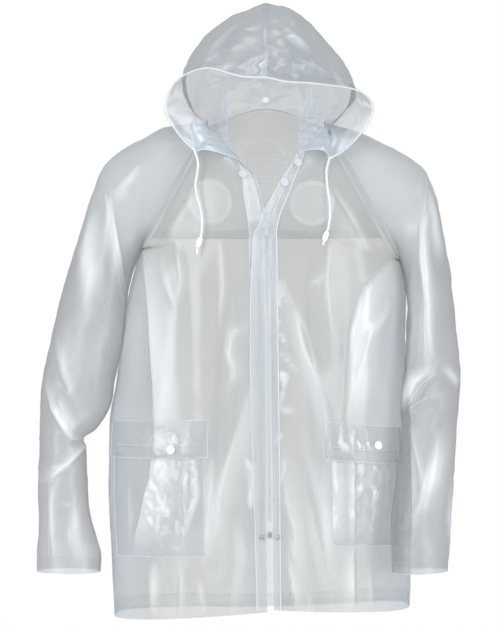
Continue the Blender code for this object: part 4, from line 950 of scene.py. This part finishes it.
MESH_LOOK = plain_material("white_mesh", (0.92, 0.93, 0.94), 0.7, painted_glow=0.12)
# Painted light: the side vents' mesh glows more, as it is seen through the front.
MESH_PAINTED_GLOW = plain_material("white_mesh_painted_glow", (0.96, 0.96, 0.96), 0.7, painted_glow=0.5)


# Pieces


def cut_of(grid, ring=False):
    """Width, length and area of a piece of cloth laid flat, in metres."""
    wide = closed_up(grid, ring)
    across = np.linalg.norm(np.diff(wide, axis=1), axis=-1).sum(axis=1).max()
    down = np.linalg.norm(np.diff(grid, axis=0), axis=-1).sum(axis=0).max()
    a, b, c, d = corners_of(wide)
    area = 0.5 * np.linalg.norm(np.cross(c - a, d - b), axis=-1).sum()
    return round(float(across), 3), round(float(down), 3), float(area)


def as_sheet(node, grid, ring=False):
    """Hides the node's solid and works out the piece's cut width, length and area, which nothing uses
    further.
    """
    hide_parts(node)
    width, length, area = cut_of(grid, ring)
    area = min(max(area, 0.3 * width * length), width * length)


# Painted highlights along sharp folds, drawn as thin bright tubes: radius, then x and z of each point of the
# path, in millimetres.
FOLD_HIGHLIGHTS = {
    "sleeve_right": [
        (0.7, -252, -115, -239, -197, -226, -280), (0.5, -227, -283, -229, -339, -234, -401),
        (0.5, -341, -567, -316, -540, -289, -515), (0.4, -341, -567, -341, -627, -341, -679),
    ],
    "sleeve_left": [
        (0.4, 253, -90, 245, -154, 239, -206), (0.5, 250, -249, 245, -332, 255, -386),
        (0.5, 219, -443, 239, -411, 261, -395), (0.4, 220, -449, 242, -435, 261, -427),
    ],
    "front_right": [(0.4, -193, -200, -179, -312, -172, -416, -172, -462)],
    "front_left": [(0.4, 33, -669, 49, -765), (0.4, 182, -300, 158, -340)],
}


def painted_fold_highlights(node, laid):
    """Painted highlights: thin bright tubes along the front of a piece, where it is folded sharply."""
    points, normals = laid[0].reshape(-1, 3), laid[1].reshape(-1, 3)
    ahead = normals[:, 1] < -0.1
    points, normals = points[ahead], normals[ahead]
    for row in FOLD_HIGHLIGHTS[node]:
        radius, *path = metres(row)
        path = np.reshape(path, (-1, 2))
        line = []
        for x, z in through(path, np.linspace(0, len(path) - 1, 40)):
            away = np.hypot(points[:, 0] - x, points[:, 2] - z)
            near = np.argsort(away)[:6]
            weight = 1 / (away[near] + 1e-4)
            y = (points[near, 1] * weight).sum() / weight.sum()
            line.append((x, y - 0.0002, z))
        HIGHLIGHT_LINES.add(*tube(np.array(line), radius))


def make_front(side, suffix):
    node = f"front_{suffix}"
    rows, shares = np.meshgrid(dense(FRONT_ROWS, 8), curved_shares(110), indexing="ij")
    grid = spread(front_point(side, rows, shares), rows, shares)
    laid = crumpled(grid, INSIDE, node, 0.0009, 0.12, 3 + side, edge_calm(*rows.shape))
    # Painted reflection: the front's outer side, below the armpit, turns bluish.
    cool = 0.9 * eased((shares - (0.72 if side == RIGHT else 0.60)) / 0.2) * eased((1.05 - rows) / 0.3)
    # Painted light: the front is a little paler above the armpit, besides the painted highlight on its
    # creases.
    pale = np.maximum(PAINTED_HIGHLIGHT[node], 0.16 * eased((rows - 1.1) / 0.1))
    film = cloth(f"{node}_film", laid[0], FILM, pale=pale, cool=cool)
    extra = [
        band(f"{node}_hem", laid, "first", 0.0004, HEM, UNDER, FILM_HEM),
        band(f"{node}_seam_edge", laid, "far", 0.0006, ALLOWANCE, UNDER, FILM_LAID, 3),
    ]
    for edge, distance in (("first", HEM_STITCH), ("far", SEAM_STITCH)):
        sewn(node, laid, edge, distance)
    painted_fold_highlights(node, laid)
    bead(edge_line(laid, "first", MID_WALL), 0.0006)
    as_sheet(node, laid[0])
    return laid


def make_back():
    rows, shares = np.meshgrid(dense(BACK_ROWS, 9), curved_shares(170, -1, 1), indexing="ij")
    grid = spread(back_point(rows, shares), rows, shares)
    laid = crumpled(grid, INSIDE, "back", 0.0012, 0.14, 7, edge_calm(*rows.shape))
    # The back gets a weaker painted highlight on its creases.
    film = cloth("back_film", laid[0], FILM_BACK, pale=0.6 * PAINTED_HIGHLIGHT["back"])
    extra = [band("back_hem", laid, "first", 0.0004, HEM, UNDER, FILM_HEM)]
    for edge in ("near", "far"):
        extra.append(band(f"back_seam_{edge}", laid, edge, 0.0006, ALLOWANCE, UNDER, FILM_LAID, 3))
        sewn("back", laid, edge, SEAM_STITCH)
    sewn("back", laid, "first", HEM_STITCH)
    bead(edge_line(laid, "first", MID_WALL), 0.0006)
    as_sheet("back", laid[0])


MID_SLEEVE = 110  # the row of a sleeve's grid halfway down


def make_sleeve(side, suffix):
    node = f"sleeve_{suffix}"
    rings = np.linspace(0, len(SLEEVE_RINGS[side]) - 1, 260)
    turns = np.linspace(0, 2 * math.pi, 104, endpoint=False)
    ring, turn = np.meshgrid(rings, turns, indexing="ij")
    laid = crumpled(sleeve_point(side, ring, turn), None, node, 0.0017, 0.10, 11 + side,
                    edge_calm(*ring.shape, sides=False), ring=True)
    # Painted light: the sleeve is paler towards the shoulder, besides the painted highlight on its creases.
    pale = np.maximum(PAINTED_HIGHLIGHT[node], 0.42 * eased((laid[0][..., 2] + 0.27) / 0.12))
    film = cloth(f"{node}_film", laid[0], FILM_SLEEVE, ring=True, pale=pale)
    cuff = inset(laid, "last", np.linspace(0.0004, 0.018, 4))
    raglan = inset(laid, "first", np.linspace(0.0008, 0.010, 3))
    extra = [cloth(f"{node}_hem", off(cuff, UNDER), FILM_LAID, ring=True),
             cloth(f"{node}_raglan_edge", off(raglan, UNDER), FILM_LAID, ring=True)]
    # The sleeve's own seam runs under the arm, on the side next to the body.
    under = int(np.argmin(np.abs(laid[0][MID_SLEEVE, :, 0])))
    columns = [(under + k) % len(turns) for k in (-3, 0, 3)]
    strip = np.stack([laid[0][:, c] + laid[1][:, c] * UNDER for c in columns], axis=1)
    extra.append(cloth(f"{node}_seam_edge", strip, FILM_LAID))
    for c in (columns[0], columns[2]):
        stitches(node, laid[0][6:-4, c], laid[1][6:-4, c])
    for edge, distance in (("last", 0.0165), ("first", 0.0085)):
        lines = inset(laid, edge, [distance])[0]
        lines = np.concatenate([lines, lines[:1]])
        stitches(node, off(lines, 0.0001), lines[:, 3:])
    painted_fold_highlights(node, laid)
    BEADS.add(*tube(edge_line(laid, "last", MID_WALL), 0.0006, closed=True))
    as_sheet(node, laid[0], ring=True)


def make_hood(side, suffix):
    node = f"hood_{suffix}"
    hoops, shares = np.meshgrid(np.linspace(0, LAST_HOOP, 150), np.linspace(0, 1, 110), indexing="ij")
    laid = crumpled(hood_point(side, hoops, shares), (0, 0, 0.06), node, 0.0022, 0.07, 17 + side,
                    edge_calm(*hoops.shape, reach=0.08))
    # The two halves meet at the crown and behind.
    for seam in (laid[0][-1], laid[0][:, -1]):
        seam[np.abs(seam[:, 0]) < 0.004, 0] = 0
    # Painted light: paler and denser where it folds over in front, besides the painted highlight on its
    # creases. Behind, it reaches down inside the neck's seam.
    foot = 0.8 * (1 - eased((hoops - 1.5) / 0.8)) * (1 - eased((shares - 0.36) / 0.15))
    pale = np.maximum(0.7 * PAINTED_HIGHLIGHT[node], foot)
    below = laid[0][:1].copy()
    below[..., 2] -= 0.0045 * eased((shares[:1] - 0.4) / 0.1)
    film = cloth(f"{node}_film", np.concatenate([below, laid[0]]), FILM_HOOD,
                 pale=np.concatenate([pale[:1], pale]))
    channel = np.linspace(0.0004, 0.019, 6)
    extra = [
        cloth(f"{node}_channel", off(inset(laid, "near", channel), UNDER), FILM_CHANNEL),
        band(f"{node}_crown_edge", laid, "last", 0.0006, 0.008, UNDER, FILM_LAID, 3),
        band(f"{node}_back_edge", laid, "far", 0.0006, 0.008, UNDER, FILM_LAID, 3),
    ]
    for edge, distance in (("near", 0.0175), ("last", 0.0065)):
        sewn(node, laid, edge, distance)
    bead(edge_line(laid, "near", MID_WALL), 0.0007)
    as_sheet(node, laid[0])


# The hood's film folds over beside the neck, on each side.
#   outer x, outer z, inner x, inner z, y, in millimetres
NECK_FOLDS = {
    RIGHT: [
        (-73, 66, -65, 66, 68), (-82, 22, -62, 24, 40), (-86, -6, -62, -4, -20), (-80, -30, -60, -26, -66),
        (-67, -52, -55, -44, -92), (-48, -64, -44, -59, -104),
    ],
    LEFT: [
        (79, 66, 68, 64, 68), (90, 32, 59, 22, 40), (87, 6, 55, -6, -20), (88, -24, 52, -30, -66),
        (93, -56, 51, -46, -92), (78, -80, 60, -74, -112),
    ],
}


def make_neck_fold(side, suffix):
    rows = through(metres(NECK_FOLDS[side]), np.linspace(0, len(NECK_FOLDS[side]) - 1, 60))
    part = np.linspace(0, 1, 24)
    x = rows[:, :1] + (rows[:, 2:3] - rows[:, :1]) * part
    z = rows[:, 1:2] + (rows[:, 3:4] - rows[:, 1:2]) * part
    y = rows[:, 4:5] - 0.005 * np.sin(np.pi * part)
    grid = np.stack([x, y, z], axis=-1)
    small = 0.0026 if side == LEFT else 0.0012
    laid = crumpled(grid, (0, 0.5, 0), f"neck_fold_{suffix}", small, 0.030, 53 + side, np.ones(x.shape))
    cloth(f"hood_{suffix}_neck_fold", laid[0], FILM_FOLD)
    bead(laid[0][:, 0], 0.0004)
    bead(laid[0][:, -1], 0.0004)


CAPE_HEM = -0.1786  # the level that it hangs to all along
CAPE_TOP = 1.985  # its top's row of the back, in the neck seam
CAPE_LOOSE = 0.009  # how far it stands off the back


def make_cape():
    shares = curved_shares(130, -0.985, 0.985)
    tried = np.linspace(CAPE_LOW - 0.35, CAPE_TOP, 300)
    low = np.array([np.interp(CAPE_HEM, back_point(tried, s)[:, 2], tried) for s in shares])
    rows = low + (CAPE_TOP - low) * np.linspace(0, 1, 70)[:, None]
    shares = np.repeat(shares[None], 70, 0)
    loose = eased((CAPE_TOP - rows) / 0.82) * (1 - np.abs(shares) ** 4)
    grid = lifted(back_point, rows, shares, ON_TOP + CAPE_LOOSE * loose)
    laid = crumpled(grid, INSIDE, "back_cape", 0.0008, 0.1, 23, edge_calm(*rows.shape))
    film = cloth("back_cape_film", laid[0], SHADED_FILM_CAPE)
    extra = [band("back_cape_hem", laid, "first", 0.0004, TURNED, 0.0004, FILM_LAID, 3)]
    sewn("back_cape", laid, "first", 0.0115, 0.0006)
    bead(edge_line(laid, "first", 0.0002))
    as_sheet("back_cape", laid[0])


def make_storm_flap():
    row = dense([r for r in FRONT_ROWS if r <= 1.96], 8)
    reach, at_edge, on_zip, free = np.moveaxis(by_row(STORM_FLAP, row), -1, 0)
    places = np.stack([-reach, -0.5 * (reach + ZIP_HALF_GAP), np.full(row.shape, -ZIP_HALF_GAP),
                       np.zeros(row.shape), np.full(row.shape, SEWN_IN)])
    heights = np.stack([free, 0.5 * (on_zip + free), on_zip, at_edge, np.full(row.shape, LAY + 0.0001)])
    at = np.linspace(0, 4, 33)
    place, height = through(places, at).T, through(heights, at).T
    shares = np.stack([share_at(LEFT, row, place[:, k]) for k in range(len(at))], axis=1)
    grid = lifted(FRONTS[LEFT], np.repeat(row[:, None], len(at), 1), shares, height + 0.0002)
    laid = crumpled(grid, INSIDE, "storm_flap", 0.0004, 0.05, 29, edge_calm(*grid.shape[:2]))
    film = cloth("storm_flap_film", laid[0], FILM_FLAP)
    extra = [band("storm_flap_turned_edge", laid, "near", 0.0004, TURNED, 0.0004, FILM_LAID, 3)]
    for edge, distance in (("near", 0.003), ("far", 0.003), ("far", 0.0075)):
        sewn("storm_flap", laid, edge, distance, 0.0003)
    bead(edge_line(laid, "near", 0.0), 0.0006)
    # The flap's sewn edge, as a bright tube: a real edge, drawn with a painted highlight.
    HIGHLIGHT_LINES.add(*tube(edge_line(laid, "far", 0.0002), 0.0009))
    as_sheet("storm_flap", laid[0])


def make_placket():
    rows, across = np.meshgrid(np.linspace(*PLACKET_ROWS, 120), np.linspace(0.0006, BAND, 14), indexing="ij")
    shares = share_at(RIGHT, rows, across)
    grid = lifted(FRONTS[RIGHT], rows, shares, ON_TOP)
    laid = crumpled(grid, INSIDE, "placket_right", 0.0003, 0.04, 41, edge_calm(*rows.shape))
    # Painted light: the band is paler up the V.
    film = cloth("placket_right_film", laid[0], FILM_FLAP, pale=0.7 * eased((rows - 1.18) / 0.1))
    for edge in ("near", "far"):
        sewn("placket_right", laid, edge, 0.002, 0.0003)
        bead(edge_line(laid, edge, 0.0001))
    as_sheet("placket_right", laid[0])


POCKET_HIGHLIGHT = 1.3  # how much stronger the painted highlight is on a pocket's bends than on a front's
THINNER = 0.62  # what a pocket's film loses where the flap adds its own


def make_pocket(side, suffix):
    inner, outer, low, high, flap_inner, flap_outer, flap_low, flap_high = POCKETS[side]

    def patch(node, bottom, top, near, far, height, seed, small, turned, stitch_at, sewn_edges):
        rows, parts = np.meshgrid(np.linspace(bottom, top, 96), np.linspace(near, far, 90), indexing="ij")
        start = share_at(side, rows, BAND)
        grid = lifted(FRONTS[side], rows, start + (1 - start) * parts, height(rows, parts))
        laid = crumpled(grid, INSIDE, node, small, 0.045, seed, edge_calm(*rows.shape, reach=0.09))
        overlap = eased(0.5 + (rows - flap_low) / 0.02) * eased(0.5 + (high - rows) / 0.02)
        if node.startswith("pocket_flap"):
            overlap = 0 * overlap
        # The pocket's bends get a stronger painted highlight; where the flap lies over the pocket its film
        # is made thinner.
        PAINTED_HIGHLIGHT[node] = np.clip(POCKET_HIGHLIGHT * PAINTED_HIGHLIGHT[node], 0, 1) * (1 - overlap) - THINNER * overlap
        film = cloth(f"{node}_film", laid[0], FILM_POCKET, pale=PAINTED_HIGHLIGHT[node])
        extra = [band(f"{node}_turned_{edge}", laid, edge, 0.0005, turned, -0.0003, FILM_LAID, 3)
                 for edge in ("near", "far", "first")]
        for edge in sewn_edges:
            sewn(node, laid, edge, stitch_at, 0.0001)
        for edge in ("near", "far", "first", "last"):
            bead(edge_line(laid, edge, 0.0), 0.0004)
        as_sheet(node, laid[0])

    def puff(parts):
        across = np.clip((parts - inner) / (outer - inner), 0, 1)
        return POCKET_PUFF * np.sin(np.pi * across) ** 0.7

    def pocket_height(rows, parts):
        rise = np.sqrt(np.clip((rows - low) / (high - low) * 1.6, 0, 1))
        return ON_TOP + puff(parts) * rise

    def flap_height(rows, parts):
        below = eased((flap_high - rows) / (flap_high - high))
        return ON_TOP + (WALL + 0.0006 + puff(parts)) * below

    patch(f"pocket_{suffix}", low, high, inner, outer, pocket_height, 31 + side, 0.0014, 0.009, 0.0025,
          ("near", "far", "first"))
    patch(f"pocket_flap_{suffix}", flap_low, flap_high, flap_inner, flap_outer, flap_height, 37 + side,
          0.0007, 0.007, 0.002, ("near", "far", "first", "last"))


# Zip

TOOTH_PITCH = 0.0016
TOOTH_ROWS = (0.244, 1.098)  # where the two halves are closed
TOOTH_REACH, TOOTH_LAP = 0.0024, 0.0004  # either way from the middle of the chain
TOOTH_LEVELS = (-0.0011, 0.0007)  # low and high, from the left front
OPEN_ROWS = (1.20, 1.95)  # the half chains up either side of the V
OPEN_TEETH = (-0.0062, -0.0034, -0.0022, -0.0006)  # near, far, low and high there
ZIP_END_Z = -0.6445  # the height of the metal parts beside the zip's box
ZIP_END_LEVELS = (0.0030, 0.0042)  # their two faces, from the left front
#   x, half width, half height
ZIP_END_BITS = [(0.0175, 0.0016, 0.0032), (-0.0105, 0.0010, 0.0028), (-0.0050, 0.0014, 0.0030)]


def tooth_boxes(group, side, rows, near, far, low, high):
    """One small block for each tooth, set between two distances in from a front's edge."""
    half = 0.33 * (rows[1] - rows[0])
    corners = []
    for r in (rows - half, rows + half):
        for d in (near, far):
            for h in (low, high):
                corners.append(lifted(FRONTS[side], r, share_at(side, r, d), h))
    group.add_all(np.stack(corners, axis=1), BOX_FACES)


def rows_at_pitch(side, first, last):
    """Rows one tooth apart along a front's edge."""
    row = np.linspace(first, last, 400)
    run = run_along(by_row(EDGES[side], row))
    return np.interp(np.arange(0, run[-1], TOOTH_PITCH), run, row)


def make_zip_teeth():
    teeth = Gathered()
    rows = rows_at_pitch(LEFT, *TOOTH_ROWS)
    middle = -ZIP_HALF_GAP
    tooth_boxes(teeth, LEFT, rows, middle - TOOTH_REACH, middle + TOOTH_LAP, *TOOTH_LEVELS)
    between = (rows[:-1] + rows[1:]) / 2
    tooth_boxes(teeth, LEFT, between, middle - TOOTH_LAP, middle + TOOTH_REACH, *TOOTH_LEVELS)
    obj = teeth.piece("zip_teeth", TOOTH_LOOK, smooth=False)
    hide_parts("zip_chain")
    half = Gathered()
    for side in (RIGHT, LEFT):
        tooth_boxes(half, side, rows_at_pitch(side, *OPEN_ROWS), *OPEN_TEETH)
    half.piece("zip_teeth_open", TOOTH_LOOK, smooth=False)


def make_zip_end():
    """The metal parts beside the zip's box, as small plates on the tapes."""
    bits = Gathered()
    for x, half_wide, half_high in ZIP_END_BITS:
        corners = []
        for dz in (-half_high, half_high):
            for dx in (-half_wide, half_wide):
                row, share = locate(FRONTS[LEFT], x + dx, ZIP_END_Z + dz, ZIP_BOX_ROW, 0.1)
                for lift in ZIP_END_LEVELS:
                    corners.append(lifted(FRONTS[LEFT], row, share, lift))
        bits.add(np.array(corners), BOX_FACES)
    bits.piece("zip_end_metal", NICKEL_LOOK, smooth=False)


# Vents

#   x, z of each vent's middle
VENTS = {"vent_centre": (-0.002, -0.052), "vent_right": (-0.092, -0.117), "vent_left": (0.077, -0.119)}
MESH_PITCH = 0.0031
MESH_THREAD = 0.00028  # a thread's radius
RIM = 0.0075  # width of the film's turned edge round a vent


def honeycomb(radius, pitch):
    """Edges of a honeycomb's cells within a circle, as pairs of (u, v)."""
    side = pitch / math.sqrt(3)
    edges = []
    count = int(radius / pitch) + 2
    for j in range(-count * 2, count * 2 + 1):
        for i in range(-count, count + 1):
            u, v = (i + 0.5 * (j % 2)) * pitch, j * 1.5 * side
            top, low = (u, v + side), (u + pitch / 2, v + side / 2)
            corner, left = (u + pitch / 2, v - side / 2), (u - pitch / 2, v + side / 2)
            edges += [(top, low), (low, corner), (top, left)]
    edges = np.array(edges)
    return edges[(np.hypot(edges[..., 0], edges[..., 1]) < radius).all(axis=1)]


def on_back(x, z, height):
    row, share = locate(back_point, x, z, 1.4, 0.3 * np.sign(np.mean(x) + 1e-9))
    return lifted(back_point, row, share, height)


def make_vent(node, x, z):
    edges = honeycomb(VENT_RADIUS - 0.002, MESH_PITCH)
    ends = on_back(x + edges[..., 0], z + edges[..., 1], -WALL - LAY - 0.0009)
    across = unit(np.cross(unit(ends[:, 1] - ends[:, 0]), (0, 1, 0)))
    angles = np.radians([90, 210, 330])
    ring = MESH_THREAD * (np.cos(angles)[None, :, None] * across[:, None]
                          + np.sin(angles)[None, :, None] * np.array([0, 1.0, 0]))
    threads = Gathered()
    shapes = (ends[:, :, None] + ring[:, None]).reshape(-1, 6, 3)
    threads.add_all(shapes, [(0, 1, 4, 3), (1, 2, 5, 4), (2, 0, 3, 5)])
    # The side vents get the glowing mesh and the brighter rim: painted light.
    knit = threads.piece(f"{node}_knit", MESH_LOOK if node == "vent_centre" else MESH_PAINTED_GLOW)
    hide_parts(node)
    # The film's turned edge round the hole, sewn down over the mesh.
    radius, angle = np.meshgrid(np.linspace(VENT_RADIUS - RIM, VENT_RADIUS, 4),
                                np.linspace(0, 2 * math.pi, 96, endpoint=False), indexing="ij")
    ring = on_back(x + radius * np.cos(angle), z + radius * np.sin(angle), -WALL - 0.0003)
    cloth(f"{node}_rim", ring, FILM_EDGE if node == "vent_centre" else FILM_RIM, ring=True)
    for k in (1, 3):
        BEADS.add(*tube(ring[k], 0.0004, closed=True))


# Cords


def channel_line(side, hoops):
    """The drawcord's middle line beside the hood's rim, where its channel holds it."""
    edge = hood_point(side, hoops, 0)
    return edge + unit(edge - hood_point(side, hoops, 0.04)) * (CORD / 2 + LAY + 0.0005)


def cord_piece(name, line, node, radius=CORD / 2):
    curve = bpy.data.curves.new(name, "CURVE")
    curve.dimensions = "3D"
    path = curve.splines.new("POLY")
    path.points.add(len(line) - 1)
    for knot, point in zip(path.points, line):
        knot.co = (*point, 1.0)
    curve.bevel_depth = radius
    curve.bevel_resolution = 4
    curve.use_fill_caps = True
    curve.materials.append(CORD_LOOK)
    obj = placed(name, curve)
    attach(obj, "jacket")
    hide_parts(node)
    return obj


def make_cord_end(side, suffix):
    ends = channel_line(side, np.array([MOUTH_HOOP, MOUTH_HOOP + 0.08]))
    out = unit(ends[0] - ends[1])
    route = np.array([ends[0] + out * LAY, ends[0] + out * 0.0055, *CORD_ROUTES[side]])
    line = through(route, np.linspace(0, len(route) - 1, 70))
    obj = cord_piece(f"cord_{suffix}_braid", line, f"cord_{suffix}")


TIGHT_RADIUS = 0.0011  # the cord's, where its channel presses it
CHANNEL_RADIUS = 0.0023


def make_hood_cord():
    hoops = np.linspace(MOUTH_HOOP, LAST_HOOP, 110)
    right, left = channel_line(RIGHT, hoops), channel_line(LEFT, hoops)
    top = (right[-1:] + left[-1:]) / 2
    line = np.concatenate([right[:-1], top, left[-2::-1]])
    cord_piece("hood_cord_braid", line, "hood_cord", TIGHT_RADIUS)
    new_piece("hood_cord_channel", *tube(line, CHANNEL_RADIUS, 10), FILM_LAID)


def dress_nodes():
    """Solids whose shape is right keep it and get their finish."""
    looks = {"zip_tape_right": TAPE_LOOK, "zip_tape_left": TAPE_LOOK, "zip_box": NICKEL_LOOK,
             "zip_slider": CLEAR_PLASTIC, "zip_pull_tab": CLEAR_PLASTIC,
             "cord_stop_right": PLASTIC_LOOK, "cord_stop_left": PLASTIC_LOOK}
    for name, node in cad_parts.items():
        look = looks.get(name)
        if name.startswith("snap"):
            look = CLEAR_PLASTIC if "_flap_" in name or "_band_" in name else PLASTIC_LOOK
        if look:
            node.data.materials.clear()
            node.data.materials.append(look)


# Studio


LENS = 144.0
EYE = (-0.0256, -4.0, -0.300)


def make_camera():
    data = bpy.data.cameras.new("camera")
    data.lens = LENS
    data.sensor_fit = "VERTICAL"
    data.sensor_width = data.sensor_height = 36.0
    camera = placed("camera", data)
    camera.location = EYE
    camera.rotation_euler = (math.radians(90), 0, 0)
    bpy.context.scene.camera = camera


def soft_box(name, place, aim, width, height, radiance):
    light = bpy.data.lights.new(name, "AREA")
    light.color = (0.92, 0.96, 1.0)
    light.shape = "RECTANGLE"
    light.size, light.size_y = width, height
    light.energy = radiance * math.pi * width * height
    obj = placed(name, light)
    obj.location = place
    obj.rotation_euler = (Vector(aim) - Vector(place)).to_track_quat("-Z", "Y").to_euler()
    obj.visible_camera = False


#   name, place, aim, width, height, radiance
SOFT_BOXES = [
    ("box_right", (-1.9, -1.9, 0.0), (0, 0, -0.3), 1.3, 2.4, 4.6),
    ("box_left", (2.0, -1.7, 0.0), (0, 0, -0.3), 1.2, 2.4, 4.2),
    ("box_top", (0.0, -0.6, 2.4), (0, 0, -0.2), 1.6, 1.2, 4.0),
]
FLOOR_RADIUS, FLOOR_Z = 1.35, -1.05


def make_studio():
    scene = bpy.context.scene
    scene.view_settings.view_transform = "Standard"
    scene.view_settings.look = "None"
    world = bpy.data.worlds.new("studio")
    scene.world = world
    world.use_nodes = True
    nodes, links = world.node_tree.nodes, world.node_tree.links
    path = nodes.new("ShaderNodeLightPath")
    seen = values_on(nodes["Background"], Color=(1.0, 1.0, 1.0, 1.0), Strength=1.0)
    around = values_on(nodes.new("ShaderNodeBackground"), Color=(0.86, 0.88, 0.895, 1.0), Strength=0.40)
    mix = nodes.new("ShaderNodeMixShader")
    links.new(path.outputs["Is Camera Ray"], mix.inputs["Fac"])
    links.new(around.outputs["Background"], mix.inputs[1])
    links.new(seen.outputs["Background"], mix.inputs[2])
    links.new(mix.outputs["Shader"], nodes["World Output"].inputs["Surface"])
    for box in SOFT_BOXES:
        soft_box(*box)
    floor = bpy.data.meshes.new("floor")
    corners = np.linspace(0, 2 * math.pi, 64, endpoint=False)
    points = [(FLOOR_RADIUS * math.cos(a), FLOOR_RADIUS * math.sin(a), FLOOR_Z) for a in corners]
    floor.from_pydata(points, [], [tuple(range(64))])
    floor.materials.append(plain_material("studio_floor", (0.93, 0.93, 0.93), 0.9))
    placed("floor", floor)


def main():
    make_camera()
    make_studio()
    for side, suffix in SIDES:
        for make in (make_cord_end, make_front, make_sleeve, make_hood, make_neck_fold, make_pocket):
            make(side, suffix)
    for make in (make_hood_cord, make_back, make_cape, make_storm_flap, make_placket, make_zip_teeth,
                 make_zip_end):
        make()
    for node, (x, z) in VENTS.items():
        make_vent(node, x, z)
    BEADS.piece("film_edges", FILM_EDGE)
    HIGHLIGHT_LINES.piece("painted_highlight_lines", HIGHLIGHT_LINE_LOOK)
    for group, threads in THREADS.items():
        threads.piece(f"{group}_stitches", THREAD_LOOK)
    dress_nodes()


main()
